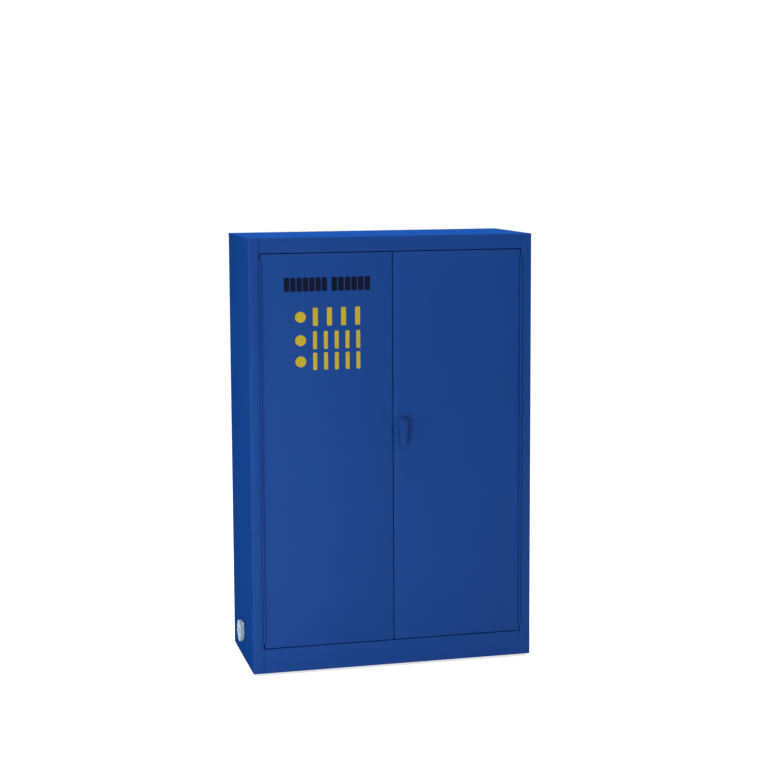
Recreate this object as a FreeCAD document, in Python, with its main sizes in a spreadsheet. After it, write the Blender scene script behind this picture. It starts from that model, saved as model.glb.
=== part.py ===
"""Two-door acid storage cabinet, drawn as a parametric document.

The frame has +X to the right, +Y to the back and +Z up.  Its origin is on the floor, under the middle of
the whole object.  Every size is a cell of the sheet "dims".  Every piece reads its sizes through
expressions, so a changed cell moves all that depends on it.
"""
import FreeCAD
import Part
import Sketcher
import math
import os
import re

SIZES = {
    # shell
    "cabinet_width": 1092.0,
    "cabinet_depth": 457.0,
    "cabinet_height": 1651.0,
    "foot_gap": 10.0,            # floor to the underside of the base
    "sheet_gauge": 1.2,
    "air_space": 38.1,           # between outer sheet and liner
    "header_face": 56.0,
    "sill_face": 93.0,
    "rail_lip": 12.0,
    "back_lap": 15.0,            # flange of a side panel behind the back panel
    "bend_radius": 2.0,
    # liner and sump
    "stop_flange": 15.0,
    "stop_lap": 15.0,            # the head stop reaches this far behind the doors
    "seat_gap": 1.5,             # between a closed door and its stop
    "sump_front": 70.0,
    "sump_side": 22.0,
    "sump_hem": 8.0,
    "spacer_width": 60.0,
    "spacer_foot": 15.0,
    "spacer_setback": 90.0,
    "support_inset": 175.5,      # from the jambs to the outer supports and to the spacers of the back
    # doors
    "door_thickness": 40.5,
    "hinge_gap": 4.0,
    "meeting_gap": 3.0,
    "head_gap": 3.0,
    "stiffener_width": 70.0,
    "stiffener_foot": 15.0,
    "stiffener_end_gap": 60.0,
    # continuous hinges
    "barrel_radius": 3.15,
    "barrel_standoff": 3.5,      # hinge axis in front of the doors
    "pin_radius": 1.6,
    "pin_clearance": 0.05,
    "leaf_gauge": 1.5,
    "leaf_depth": 25.0,
    "leaf_clearance": 0.5,
    "leaf_end_gap": 20.0,
    "knuckle_count": 3.0,        # on each leaf
    "knuckle_gap": 0.5,
    # handle and lock
    "handle_reach": 34.0,        # doors to the front of the lock
    "spindle_setoff": 34.5,      # from the line where the doors meet
    "spindle_height": 945.0,
    "spindle_radius": 8.0,
    "spindle_square": 9.0,
    "square_depth": 5.0,
    "base_radius": 21.5,
    "base_drop": 71.0,
    "base_gauge": 4.0,
    "hub_radius": 19.0,
    "hub_setback": 2.0,          # hub face behind the lock face
    "blade_front": 29.0,
    "blade_gauge": 11.0,
    "blade_drop": 82.0,
    "blade_end_radius": 9.0,
    "lock_radius": 10.95,
    "lock_depth": 22.0,
    "keyway_width": 1.8,
    "keyway_height": 9.0,
    "keyway_depth": 6.0,
    "turn_clearance": 0.05,
    "face_clearance": 0.3,
    "screw_radius": 2.4,
    "screw_flat": 8.0,
    "screw_head_height": 2.5,
    "screw_first_drop": 36.0,
    "screw_spacing": 40.0,
    "screw_length": 12.0,
    # three-point latch
    "rod_travel": 18.0,
    "rod_setoff": 11.0,
    "rod_width": 20.0,
    "rod_gauge": 4.0,
    "rod_plane": 20.0,           # behind the door face
    "rod_tail": 12.0,
    "tip_radius": 6.0,
    "tip_length": 45.0,
    "tip_overlap": 10.0,
    "tip_setback": 2.0,
    "tip_nose": 2.5,
    "tip_clearance": 0.1,
    "yoke_clearance": 0.45,
    "cam_plane": 14.0,
    "cam_gauge": 3.0,
    "cam_radius": 18.0,
    "cam_pin_radius": 3.0,
    "cam_pin_length": 7.0,
    "tongue_reach": 48.5,
    "tongue_width": 12.0,
    "tongue_clearance": 1.0,
    "slot_height": 46.0,
    "plate_gauge": 2.0,
    "plate_height": 80.0,
    "plate_front": 5.0,
    "plate_width": 28.0,
    "guide_spacing": 220.0,
    "guide_height": 12.0,
    "guide_wall": 4.0,
    "guide_clearance": 0.3,
    "bush_wall": 3.4,
    "bush_length": 10.0,
    "strike_gauge": 3.0,
    "strike_length": 60.0,
    "strike_width": 30.0,
    "strike_clearance": 0.8,
    # vents
    "vent_setoff": 7.5,          # behind the middle of the side
    "vent_low": 116.0,           # from the floor, on the left
    "vent_high_drop": 150.0,     # from the top, on the right
    "vent_radius": 30.0,
    "vent_bore": 22.0,
    "vent_collar": 13.0,
    "vent_inside": 9.0,
    "vent_flange_radius": 37.0,
    "vent_flange_gauge": 4.0,
    "hole_clearance": 0.3,
    "locknut_radius": 37.0,
    "locknut_gauge": 8.0,
    "cap_radius": 41.0,
    "cap_reach": 20.0,
    "cap_bar_height": 3.0,
    "cap_bar_width": 9.0,
    "arrester_gauge": 2.0,
    "arrester_rim": 3.0,
    "arrester_slot": 3.5,
    "arrester_pitch": 5.5,
    # shelves and trays
    "upright_setback": 95.0,
    "upright_rear_gap": 51.5,
    "upright_width": 20.0,
    "upright_depth": 12.0,
    "upright_foot": 100.0,       # above the sump floor
    "upright_head_gap": 60.0,
    "slot_pitch": 80.0,
    "slot_width": 4.0,
    "slot_length": 12.0,
    "lower_slot_count": 5.0,
    "upper_slot_count": 11.0,
    "clip_gauge": 2.0,
    "clip_width": 16.0,
    "clip_drop": 24.0,
    "clip_tab": 16.0,
    "clip_rise": 10.0,           # slot to the seat of the shelf
    "hook_width": 3.0,
    "hook_height": 8.0,
    "hook_reach": 5.0,
    "shelf_gauge": 1.5,
    "shelf_side_gap": 2.5,
    "shelf_setback": 62.0,
    "shelf_rear_gap": 16.5,
    "shelf_skirt": 32.0,
    "shelf_lip": 12.0,
    "tray_side_gap": 21.0,       # from the end of a shelf to the tray wall
    "tray_end_gap": 28.25,       # from the stop and from the back liner to the tray wall
    "tray_height": 40.0,
    "tray_wall": 3.0,
    "tray_radius": 22.0,
    "tray_draft": 4.0,           # degrees
    "tray_seat": 0.3,
    "tray_rim": 6.0,
    "sump_tray_end_gap": 24.25,
    "sump_tray_height": 32.0,
    # feet and ground stud
    "foot_inset": 60.0,
    "foot_flat": 32.0,
    "foot_pad": 6.0,
    "foot_stud_radius": 5.0,
    "foot_stud_top": 26.0,
    "foot_nut_flat": 17.0,
    "foot_nut_height": 9.0,
    "ground_rear_gap": 47.0,
    "ground_height": 62.0,
    "ground_radius": 4.0,
    "ground_reach": 17.0,
    "ground_washer_radius": 9.0,
    "ground_washer_gauge": 1.6,
    "ground_nut_flat": 13.0,
    "ground_nut_height": 6.0,
}

doc = FreeCAD.newDocument("acid_storage_cabinet")
sheet = doc.addObject("Spreadsheet::Sheet", "dims")
for row, (name, value) in enumerate(SIZES.items(), start=1):
    sheet.set(f"A{row}", name)
    sheet.set(f"B{row}", str(value))
    sheet.setAlias(f"B{row}", name)
doc.recompute()

# Places worked out from the sizes.  Inside a piece x counts from the middle of the cabinet,
# y from its front face and z from the floor, unless the piece has an axis of its own.
FRONT = "(-(cabinet_depth - handle_reach) / 2)"
HALF = "(cabinet_width / 2)"
WALL = "(air_space + 2 * sheet_gauge)"
JAMB = f"({HALF} - {WALL})"
BASE_TOP = "(foot_gap + sheet_gauge)"
SUMP = f"({BASE_TOP} + air_space + sheet_gauge)"
TOP = "(cabinet_height - sheet_gauge)"
ROOF = f"({TOP} - air_space - sheet_gauge)"
HEADER = "(cabinet_height - header_face)"
SILL = "(foot_gap + sill_face)"
STOP = "(door_thickness + seat_gap)"
LINER_BACK = f"(cabinet_depth - {WALL})"
DOOR_LOW = f"({SILL} + head_gap)"
DOOR_HIGH = f"({HEADER} - head_gap)"
DOOR_OUTER = f"({JAMB} - hinge_gap)"
DOOR_INNER = "(meeting_gap / 2)"
DOOR_INSIDE = "(door_thickness - sheet_gauge)"
HINGE_X = f"({JAMB} - hinge_gap / 2)"
LEAF_LOW = f"({DOOR_LOW} + leaf_end_gap)"
LEAF_LENGTH = f"({DOOR_HIGH} - {DOOR_LOW} - 2 * leaf_end_gap)"
KNUCKLE = f"({LEAF_LENGTH} / (2 * knuckle_count))"
SUPPORT_X = f"({JAMB} - support_inset)"
VENT_Y = "(cabinet_depth / 2 + vent_setoff)"
CAM_PIN = "(rod_travel / 2)"
TOP_REACH = f"({DOOR_HIGH} - tip_setback - spindle_height)"
LOW_REACH = f"(spindle_height - {DOOR_LOW} - tip_setback)"
UPRIGHT_FACE = f"({JAMB} - upright_depth)"
UPRIGHT_LOW = f"({SUMP} + upright_foot)"
UPRIGHT_HIGH = f"({ROOF} - upright_head_gap)"
FIRST_SLOT = f"({UPRIGHT_LOW} + slot_length)"
UPRIGHT_REAR = f"({LINER_BACK} - upright_rear_gap)"
SHELF_HALF = f"({UPRIGHT_FACE} - shelf_side_gap)"
FOOT_X = f"({HALF} - foot_inset)"

PLANES = {"x": "YZ_Plane", "y": "XZ_Plane", "z": "XY_Plane"}
DIRECTIONS = {"x": "X_Axis", "y": "Y_Axis", "z": "Z_Axis"}
ARRESTER_SLOTS = 2               # on each side of the middle one
CLOSE = 0.01                     # two places nearer than this are one
PIECES = []


def number(text):
    """The value of an expression over the sheet."""
    return float(sheet.evalExpression(text))


def bind(thing, prop, text):
    """Tie a property to an expression over the sheet."""
    thing.setExpression(prop, re.sub(r"\b([a-z]+_\w+)\b", r"dims.\1", text))


def piece(label, x="0", y=FRONT, z="0"):
    """A new body: one piece of the cabinet, placed by its own origin."""
    body = doc.addObject("PartDesign::Body", label)
    body.Label = label
    for axis, text in (("x", x), ("y", y), ("z", z)):
        bind(body, f"Placement.Base.{axis}", text)
    PIECES.append(body)
    return body


def origin_feature(body, role):
    """One of the origin planes or axes of a body."""
    return next(item for item in body.Origin.OriginFeatures if item.Role == role)


def fix_point(sketch, geometry, point, x, y):
    """Hold one point of a sketch at (x, y)."""
    for kind, text in (("DistanceX", x), ("DistanceY", y)):
        held = sketch.addConstraint(Sketcher.Constraint(kind, -1, 1, geometry, point, number(text)))
        bind(sketch, f"Constraints[{held}]", text)


def polygon(*points):
    """A closed outline through points given as pairs of expressions."""
    def draw(sketch):
        spots = [FreeCAD.Vector(number(x), number(y), 0) for x, y in points]
        first = sketch.GeometryCount
        for start, end in zip(spots, spots[1:] + spots[:1]):
            sketch.addGeometry(Part.LineSegment(start, end), False)
        for step, (x, y) in enumerate(points):
            following = first + (step + 1) % len(points)
            sketch.addConstraint(Sketcher.Constraint("Coincident", first + step, 2, following, 1))
            fix_point(sketch, first + step, 1, x, y)
    return draw


def rectangle(x_low, y_low, x_high, y_high):
    """A rectangle between two corners."""
    return polygon((x_low, y_low), (x_high, y_low), (x_high, y_high), (x_low, y_high))


def circle(x, y, radius):
    """A full circle."""
    def draw(sketch):
        centre = FreeCAD.Vector(number(x), number(y), 0)
        ring = sketch.addGeometry(Part.Circle(centre, FreeCAD.Vector(0, 0, 1), number(radius)), False)
        fix_point(sketch, ring, 3, x, y)
        held = sketch.addConstraint(Sketcher.Constraint("Radius", ring, number(radius)))
        bind(sketch, f"Constraints[{held}]", radius)
    return draw


def teardrop(top_radius, end_radius, drop):
    """Two arcs, the second one straight below the first, joined by their common tangents."""
    def draw(sketch):
        big, small, length = number(top_radius), number(end_radius), number(drop)
        lean = math.asin((big - small) / length)
        up = FreeCAD.Vector(0, 0, 1)
        low = FreeCAD.Vector(0, -length, 0)
        right = FreeCAD.Vector(math.cos(lean), -math.sin(lean), 0)
        left = FreeCAD.Vector(-math.cos(lean), -math.sin(lean), 0)
        head = sketch.addGeometry(
            Part.ArcOfCircle(Part.Circle(FreeCAD.Vector(), up, big), -lean, math.pi + lean), False)
        side_left = sketch.addGeometry(Part.LineSegment(left * big, low + left * small), False)
        tail = sketch.addGeometry(
            Part.ArcOfCircle(Part.Circle(low, up, small), math.pi + lean, 2 * math.pi - lean), False)
        side_right = sketch.addGeometry(Part.LineSegment(low + right * small, right * big), False)
        fix_point(sketch, head, 3, "0", "0")
        fix_point(sketch, tail, 3, "0", f"-({drop})")
        for arc, radius in ((head, top_radius), (tail, end_radius)):
            held = sketch.addConstraint(Sketcher.Constraint("Radius", arc, number(radius)))
            bind(sketch, f"Constraints[{held}]", radius)
        for one, one_end, other, other_end in ((head, 2, side_left, 1), (side_left, 2, tail, 1),
                                               (tail, 2, side_right, 1), (side_right, 2, head, 1)):
            sketch.addConstraint(Sketcher.Constraint("Tangent", one, one_end, other, other_end))
    return draw


def rounded(half_x, half_y, radius):
    """A rectangle about the origin with round corners."""
    def draw(sketch):
        x, y, bend = number(half_x) - number(radius), number(half_y) - number(radius), number(radius)
        up = FreeCAD.Vector(0, 0, 1)
        arcs, sides = [], []
        signs = ((1, 1), (-1, 1), (-1, -1), (1, -1))
        for step, (way_x, way_y) in enumerate(signs):
            centre = FreeCAD.Vector(way_x * x, way_y * y, 0)
            start = step * math.pi / 2
            ring = Part.Circle(centre, up, bend)
            arc = sketch.addGeometry(Part.ArcOfCircle(ring, start, start + math.pi / 2), False)
            fix_point(sketch, arc, 3, f"{way_x} * ({half_x} - {radius})", f"{way_y} * ({half_y} - {radius})")
            held = sketch.addConstraint(Sketcher.Constraint("Radius", arc, bend))
            bind(sketch, f"Constraints[{held}]", radius)
            arcs.append(arc)
        for step, arc in enumerate(arcs):
            following = arcs[(step + 1) % 4]
            start, end = sketch.getPoint(arc, 2), sketch.getPoint(following, 1)
            sides.append(sketch.addGeometry(Part.LineSegment(start, end), False))
        for step, side in enumerate(sides):
            sketch.addConstraint(Sketcher.Constraint("Tangent", arcs[step], 2, side, 1))
            sketch.addConstraint(Sketcher.Constraint("Tangent", side, 2, arcs[(step + 1) % 4], 1))
    return draw


def hexagon(x, y, flat):
    """A hexagon by its width across flats."""
    corners = []
    for step in range(6):
        angle = f"{30 + 60 * step} deg"
        reach = f"({flat} / sqrt(3))"
        corners.append((f"{x} + {reach} * cos({angle})", f"{y} + {reach} * sin({angle})"))
    return polygon(*corners)


def folded(path, gauge="sheet_gauge", side=1):
    """The section of a folded sheet: its face follows a square path, its back lies one gauge to the side."""
    spots = [(number(x), number(y)) for x, y in path]
    normals = []
    for (x0, y0), (x1, y1) in zip(spots, spots[1:]):
        length = math.hypot(x1 - x0, y1 - y0)
        normals.append((round(-(y1 - y0) / length) * side, round((x1 - x0) / length) * side))
    back = []
    for step, (x, y) in enumerate(path):
        before = normals[max(step - 1, 0)]
        after = normals[min(step, len(normals) - 1)]
        across = before[0] or after[0]
        along = before[1] or after[1]
        back.append((f"{x} + {across} * {gauge}", f"{y} + {along} * {gauge}"))
    return polygon(*path, *reversed(back))


def hat(foot, crown_low, crown_high, gauge, rise, level="0", way=1, turned=False):
    """The section of a hat channel with two feet, standing on a level and rising one way from it."""
    top = f"({level} + {way} * ({rise} - {gauge}))"
    path = [(f"{crown_low} - {foot}", level), (crown_low, level), (crown_low, top),
            (crown_high, top), (crown_high, level), (f"{crown_high} + {foot}", level)]
    if turned:
        path = [(y, x) for x, y in path]
    return folded(path, gauge, side=(-way if turned else way))


def span(body, axis, low, high, *outlines, cut=False, taper="0"):
    """Pad, or cut, the outlines from one level to another along an axis."""
    sketch = body.newObject("Sketcher::SketchObject", "outline")
    sketch.AttachmentSupport = [(origin_feature(body, PLANES[axis]), "")]
    sketch.MapMode = "FlatFace"
    bind(sketch, "AttachmentOffset.Base.z", low if axis != "y" else f"-({high})")
    for draw in outlines:
        draw(sketch)
    feature = body.newObject("PartDesign::Pocket" if cut else "PartDesign::Pad", "span")
    feature.Profile = sketch
    bind(feature, "Length", f"({high}) - ({low})")
    if taper != "0":
        bind(feature, "TaperAngle", taper)
    feature.Reversed = cut
    body.Tip = feature
    return feature


def repeat(body, features, axis, count, length):
    """A row of copies of some features over a length."""
    pattern = body.newObject("PartDesign::LinearPattern", "row")
    pattern.Originals = features
    pattern.Direction = (origin_feature(body, DIRECTIONS[axis]), [""])
    bind(pattern, "Length", length)
    bind(pattern, "Occurrences", count)
    body.Tip = pattern
    return pattern


def edges_where(along=None, x=None, y=None, z=None, circles=False):
    """A test for edges by their direction and the place of their middle."""
    places = [None if text is None else number(text) for text in (x, y, z)]

    def fits(edge):
        if circles != isinstance(edge.Curve, Part.Circle):
            return False
        middle = edge.BoundBox.Center
        if any(place is not None and abs(place - spot) > CLOSE for place, spot in zip(places, middle)):
            return False
        if along is None:
            return True
        way = edge.tangentAt(edge.FirstParameter)
        return abs(abs(getattr(way, along)) - 1) < 1e-6
    return fits


def outline_edges(level):
    """A test for the edges of a teardrop in one plane across Y, which leaves out its round holes."""
    place = number(level)

    def fits(edge):
        box = edge.BoundBox
        flat = abs(box.YMax - place) < CLOSE and abs(box.YMin - place) < CLOSE
        return flat and not (isinstance(edge.Curve, Part.Circle) and edge.Closed)
    return fits


def soften(body, radius, *tests, kind="Fillet"):
    """Round, or chamfer, the edges that pass any of the tests."""
    doc.recompute()
    base = body.Tip
    names = [f"Edge{count}" for count, edge in enumerate(base.Shape.Edges, start=1)
             if any(test(edge) for test in tests)]
    feature = body.newObject(f"PartDesign::{kind}", "edges")
    feature.Base = (base, names)
    bind(feature, "Radius" if kind == "Fillet" else "Size", radius)
    body.Tip = feature
    return feature


def outward(side, near, far):
    """The low and high end of a stretch that runs outward on one side of the cabinet."""
    return (near, far) if side > 0 else (f"-({far})", f"-({near})")


def mirrored(side, text):
    """A place on the right side, or its mirror image on the left."""
    return text if side > 0 else f"-({text})"


def vent_level(side):
    """Height of a vent: low on the left side, high on the right side."""
    return "vent_low" if side < 0 else "(cabinet_height - vent_high_drop)"


# ---------------------------------------------------------------- shell

def side_panel(label, side):
    """Side sheet folded into the stile and the jamb in front and a flange behind."""
    body = piece(label)
    face = [(JAMB, STOP), (JAMB, "0"), (HALF, "0"), (HALF, "cabinet_depth"),
            (f"{HALF} - back_lap", "cabinet_depth")]
    path = [(mirrored(side, x), y) for x, y in face]
    span(body, "z", BASE_TOP, TOP, folded(path, side=side))
    low, high = outward(side, f"{HALF} - 2 * sheet_gauge", f"{HALF} + sheet_gauge")
    hole = circle(VENT_Y, vent_level(side), "vent_radius + hole_clearance")
    span(body, "x", low, high, hole, cut=True)
    soften(body, "bend_radius", edges_where("z", x=mirrored(side, HALF), y="0"),
           edges_where("z", x=mirrored(side, HALF), y="cabinet_depth"))


def back_panel():
    """Outer back sheet, held in front of the flanges of the side panels."""
    body = piece("back_panel")
    edge = f"{HALF} - sheet_gauge"
    span(body, "z", BASE_TOP, TOP,
         rectangle(f"-({edge})", "cabinet_depth - 2 * sheet_gauge", edge, "cabinet_depth - sheet_gauge"))


def top_panel():
    """Top sheet, lying on the side panels, the back and the header."""
    body = piece("top_panel")
    span(body, "z", TOP, "cabinet_height", rectangle(f"-{HALF}", "0", HALF, "cabinet_depth"))
    soften(body, "sheet_gauge * 0.8",
           edges_where("x", y="0", z="cabinet_height"),
           edges_where("x", y="cabinet_depth", z="cabinet_height"),
           edges_where("y", x=HALF, z="cabinet_height"),
           edges_where("y", x=f"-{HALF}", z="cabinet_height"))


def foot_places():
    """The four places of the feet, as x and y."""
    levels = ("foot_inset", "(cabinet_depth - foot_inset)")
    return [(f"{side} * {FOOT_X}", y) for side in (-1, 1) for y in levels]


def base_panel():
    """Bottom sheet with the four weld nuts that take the feet."""
    body = piece("base_panel")
    nuts = [hexagon(x, y, "foot_nut_flat") for x, y in foot_places()]
    bores = [circle(x, y, "foot_stud_radius + turn_clearance") for x, y in foot_places()]
    span(body, "z", "foot_gap", BASE_TOP, rectangle(f"-{HALF}", "0", HALF, "cabinet_depth"))
    span(body, "z", BASE_TOP, f"{BASE_TOP} + foot_nut_height", *nuts)
    span(body, "z", "foot_gap - 1", f"{BASE_TOP} + foot_nut_height + 1", *bores, cut=True)


def header_rail():
    """Folded rail over the doors with the hole of the upper rod."""
    body = piece("header_rail")
    path = [("rail_lip", TOP), ("0", TOP), ("0", HEADER), (STOP, HEADER), (STOP, f"{HEADER} + rail_lip")]
    span(body, "x", f"-{JAMB}", JAMB, folded(path, side=1))
    hole = circle("spindle_setoff + rod_setoff", "rod_plane", "tip_radius + 2 * strike_clearance")
    span(body, "z", f"{HEADER} - 1", f"{HEADER} + 2 * sheet_gauge", hole, cut=True)
    soften(body, "bend_radius * 0.9", edges_where("x", y="0", z=HEADER))


def sill_rail():
    """Folded rail under the doors with the hole of the lower rod."""
    body = piece("sill_rail")
    path = [("rail_lip", BASE_TOP), ("0", BASE_TOP), ("0", SILL), (STOP, SILL), (STOP, f"{SILL} - rail_lip")]
    span(body, "x", f"-{JAMB}", JAMB, folded(path, side=-1))
    hole = circle("spindle_setoff - rod_setoff", "rod_plane", "tip_radius + 2 * strike_clearance")
    span(body, "z", f"{SILL} - 2 * sheet_gauge", f"{SILL} + 1", hole, cut=True)
    soften(body, "bend_radius * 0.9", edges_where("x", y="0", z=SILL))


def rod_strikes():
    """Strike plates behind the holes of the header and the sill."""
    body = piece("rod_strikes")
    for side, low in ((1, f"{HEADER} + sheet_gauge"), (-1, f"{SILL} - sheet_gauge - strike_gauge")):
        x = f"(spindle_setoff + {side} * rod_setoff)"
        plate = rectangle(f"{x} - strike_length / 2", "rod_plane - strike_width / 2",
                          f"{x} + strike_length / 2", "rod_plane + strike_width / 2")
        span(body, "z", low, f"{low} + strike_gauge",
             plate, circle(x, "rod_plane", "tip_radius + strike_clearance"))


# ---------------------------------------------------------------- liner

def side_liner(label, side):
    """Inner side sheet, folded inward in front as the stop of a door."""
    body = piece(label)
    outer = f"({JAMB} + sheet_gauge)"
    face = [(f"{JAMB} - stop_flange", STOP), (outer, STOP), (outer, f"{LINER_BACK} + sheet_gauge")]
    path = [(mirrored(side, x), y) for x, y in face]
    span(body, "z", SUMP, ROOF, folded(path, side=side))
    low, high = outward(side, f"{JAMB} - sheet_gauge", f"{JAMB} + 2 * sheet_gauge")
    hole = circle(VENT_Y, vent_level(side), "vent_radius + hole_clearance")
    span(body, "x", low, high, hole, cut=True)


def back_liner():
    """Inner back sheet."""
    body = piece("liner_back")
    span(body, "z", SUMP, ROOF, rectangle(f"-{JAMB}", LINER_BACK, JAMB, f"{LINER_BACK} + sheet_gauge"))


def top_liner():
    """Inner top sheet with the head stop of the doors."""
    body = piece("liner_top")
    edge = f"({JAMB} + sheet_gauge)"
    span(body, "z", ROOF, f"{ROOF} + sheet_gauge",
         rectangle(f"-{edge}", STOP, edge, f"{LINER_BACK} + sheet_gauge"))
    flange = f"({JAMB} - stop_flange)"
    span(body, "z", f"{DOOR_HIGH} - stop_lap + head_gap", ROOF,
         rectangle(f"-{flange}", STOP, flange, f"{STOP} + sheet_gauge"))


def sump_pan():
    """Floor of the sump with a hemmed front wall and low flanges inside the liners."""
    body = piece("sump_pan")
    edge = f"({JAMB} + sheet_gauge)"
    span(body, "z", f"{SUMP} - sheet_gauge", SUMP,
         rectangle(f"-{edge}", STOP, edge, f"{LINER_BACK} + sheet_gauge"))
    flange = f"({JAMB} - stop_flange)"
    path = [(STOP, SUMP), (STOP, f"{SUMP} + sump_front"), (f"{STOP} + sump_hem", f"{SUMP} + sump_front"),
            (f"{STOP} + sump_hem", f"{SUMP} + sump_front - sump_hem / 2")]
    span(body, "x", f"-{flange}", flange, folded(path, side=-1))
    inner = f"({JAMB} - sheet_gauge)"
    front = f"({STOP} + sheet_gauge)"
    walls = [(f"-{JAMB}", front), (f"-{JAMB}", LINER_BACK), (JAMB, LINER_BACK), (JAMB, front),
             (inner, front), (inner, f"{LINER_BACK} - sheet_gauge"),
             (f"-{inner}", f"{LINER_BACK} - sheet_gauge"), (f"-{inner}", front)]
    span(body, "z", SUMP, f"{SUMP} + sump_side", polygon(*walls))


def sump_supports():
    """Hat channels that carry the sump floor on the base."""
    body = piece("sump_supports")
    section = hat("spacer_foot", f"-{SUPPORT_X} - spacer_width / 2", f"-{SUPPORT_X} + spacer_width / 2",
                  "sheet_gauge", "air_space", BASE_TOP, way=1)
    first = span(body, "y", f"{STOP} + spacer_foot", f"{LINER_BACK} - spacer_foot", section)
    repeat(body, [first], "x", "3", f"2 * {SUPPORT_X}")


def wall_spacers():
    """Hat channels between the outer sheets and the liners of both sides and the back."""
    body = piece("wall_spacers")
    sections = []
    for side in (-1, 1):
        foot = mirrored(side, f"{HALF} - sheet_gauge")
        for y in ("spacer_setback", "cabinet_depth - spacer_setback - spacer_width"):
            sections.append(hat("spacer_foot", y, f"({y} + spacer_width)", "sheet_gauge", "air_space",
                                foot, way=-side, turned=True))
    for side in (-1, 1):
        low = f"({side} * {SUPPORT_X} - spacer_width / 2)"
        sections.append(hat("spacer_foot", low, f"({low} + spacer_width)", "sheet_gauge",
                            "air_space - sheet_gauge", "cabinet_depth - 2 * sheet_gauge", way=-1))
    span(body, "z", f"{SUMP} + spacer_foot", f"{ROOF} - spacer_foot", *sections)


# ---------------------------------------------------------------- hinges

def hinge_leaf(label, side, on_door):
    """Leaf of a continuous hinge: a strip in the gap with every other knuckle on it."""
    body = piece(label, x=mirrored(side, HINGE_X), y=f"{FRONT} - barrel_standoff", z=LEAF_LOW)
    way = -side if on_door else side
    near, far = f"{way} * (hinge_gap / 2 - leaf_gauge)", f"{way} * hinge_gap / 2"
    edge = "(barrel_radius + leaf_clearance)"
    span(body, "z", "0", LEAF_LENGTH, rectangle(near, edge, far, "barrel_standoff + leaf_depth"))
    low = f"({KNUCKLE} + knuckle_gap / 2)" if on_door else "knuckle_gap / 2"
    high = f"({low} + {KNUCKLE} - knuckle_gap)"
    ring = span(body, "z", low, high,
                circle("0", "0", "barrel_radius"), circle("0", "0", "pin_radius + pin_clearance"))
    neck = span(body, "z", low, high, rectangle(near, "barrel_radius * 0.73", far, f"{edge} + leaf_gauge"))
    repeat(body, [ring, neck], "z", "knuckle_count", f"(knuckle_count - 1) * 2 * {KNUCKLE}")


def hinge_pin(label, side):
    """Plain pin through all the knuckles."""
    body = piece(label, x=mirrored(side, HINGE_X), y=f"{FRONT} - barrel_standoff", z=LEAF_LOW)
    span(body, "z", "0", LEAF_LENGTH, circle("0", "0", "pin_radius"))


# ---------------------------------------------------------------- doors

def door_skin(label, side):
    """Front sheet of a door with its four edges turned back."""
    body = piece(label)
    low_x, high_x = outward(side, DOOR_INNER, DOOR_OUTER)
    inner_low, inner_high = outward(side, f"{DOOR_INNER} + sheet_gauge", f"{DOOR_OUTER} - sheet_gauge")
    span(body, "y", "0", DOOR_INSIDE, rectangle(low_x, DOOR_LOW, high_x, DOOR_HIGH))
    hollow = rectangle(inner_low, f"{DOOR_LOW} + sheet_gauge", inner_high, f"{DOOR_HIGH} - sheet_gauge")
    span(body, "y", "sheet_gauge", f"{DOOR_INSIDE} + 1", hollow, cut=True)
    slot = rectangle("cam_plane - tongue_clearance", "spindle_height - tongue_width / 2 - tongue_clearance",
                     "cam_plane + cam_gauge + tongue_clearance", "spindle_height + slot_height")
    low, high = outward(side, f"{DOOR_INNER} - 1", f"{DOOR_INNER} + 2 * sheet_gauge")
    span(body, "x", low, high, slot, cut=True)
    if side > 0:
        drop = "spindle_height - screw_first_drop"
        span(body, "y", "-1", "2 * sheet_gauge",
             circle("spindle_setoff", "spindle_height", "spindle_radius + tongue_clearance"),
             circle("spindle_setoff", drop, "screw_radius + turn_clearance"),
             circle("spindle_setoff", f"{drop} - screw_spacing", "screw_radius + turn_clearance"), cut=True)
        for way, level in ((1, DOOR_HIGH), (-1, DOOR_LOW)):
            x = f"(spindle_setoff + {way} * rod_setoff)"
            hole = circle(x, "rod_plane", "tip_radius + strike_clearance")
            span(body, "z", f"{level} - 2 * sheet_gauge", f"{level} + 2 * sheet_gauge", hole, cut=True)
    soften(body, "bend_radius", edges_where("z", x=low_x, y="0"), edges_where("z", x=high_x, y="0"),
           edges_where("x", y="0", z=DOOR_LOW), edges_where("x", y="0", z=DOOR_HIGH))


def door_back(label, side):
    """Inner sheet of a door, closing the skin from behind."""
    body = piece(label)
    low_x, high_x = outward(side, DOOR_INNER, DOOR_OUTER)
    span(body, "y", DOOR_INSIDE, "door_thickness", rectangle(low_x, DOOR_LOW, high_x, DOOR_HIGH))


def door_stiffener(label, side):
    """Hat channel that stands between the two sheets of a door."""
    body = piece(label, x=mirrored(side, f"({DOOR_INNER} + {DOOR_OUTER}) / 2"))
    section = hat("stiffener_foot", "-stiffener_width / 2", "stiffener_width / 2", "sheet_gauge",
                  f"{DOOR_INSIDE} - sheet_gauge", "sheet_gauge", way=1)
    span(body, "z", f"{DOOR_LOW} + stiffener_end_gap", f"{DOOR_HIGH} - stiffener_end_gap", section)


def slot_plate(label, side):
    """Plate behind the slot in the meeting edge of a door."""
    body = piece(label, z="spindle_height")
    near = f"({DOOR_INNER} + sheet_gauge)"
    low, high = outward(side, near, f"{near} + plate_gauge")
    plate = rectangle("plate_front", "-plate_height / 2 + tongue_width", "plate_front + plate_width",
                      "plate_height / 2 + tongue_width")
    slot = rectangle("cam_plane - tongue_clearance", "-tongue_width / 2 - tongue_clearance",
                     "cam_plane + cam_gauge + tongue_clearance", "slot_height")
    span(body, "x", low, high, plate, slot)


# ---------------------------------------------------------------- handle, lock and latch

def spindle_piece(label):
    """A piece whose origin is on the spindle axis in the plane of the door face."""
    return piece(label, x="spindle_setoff", z="spindle_height")


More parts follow.
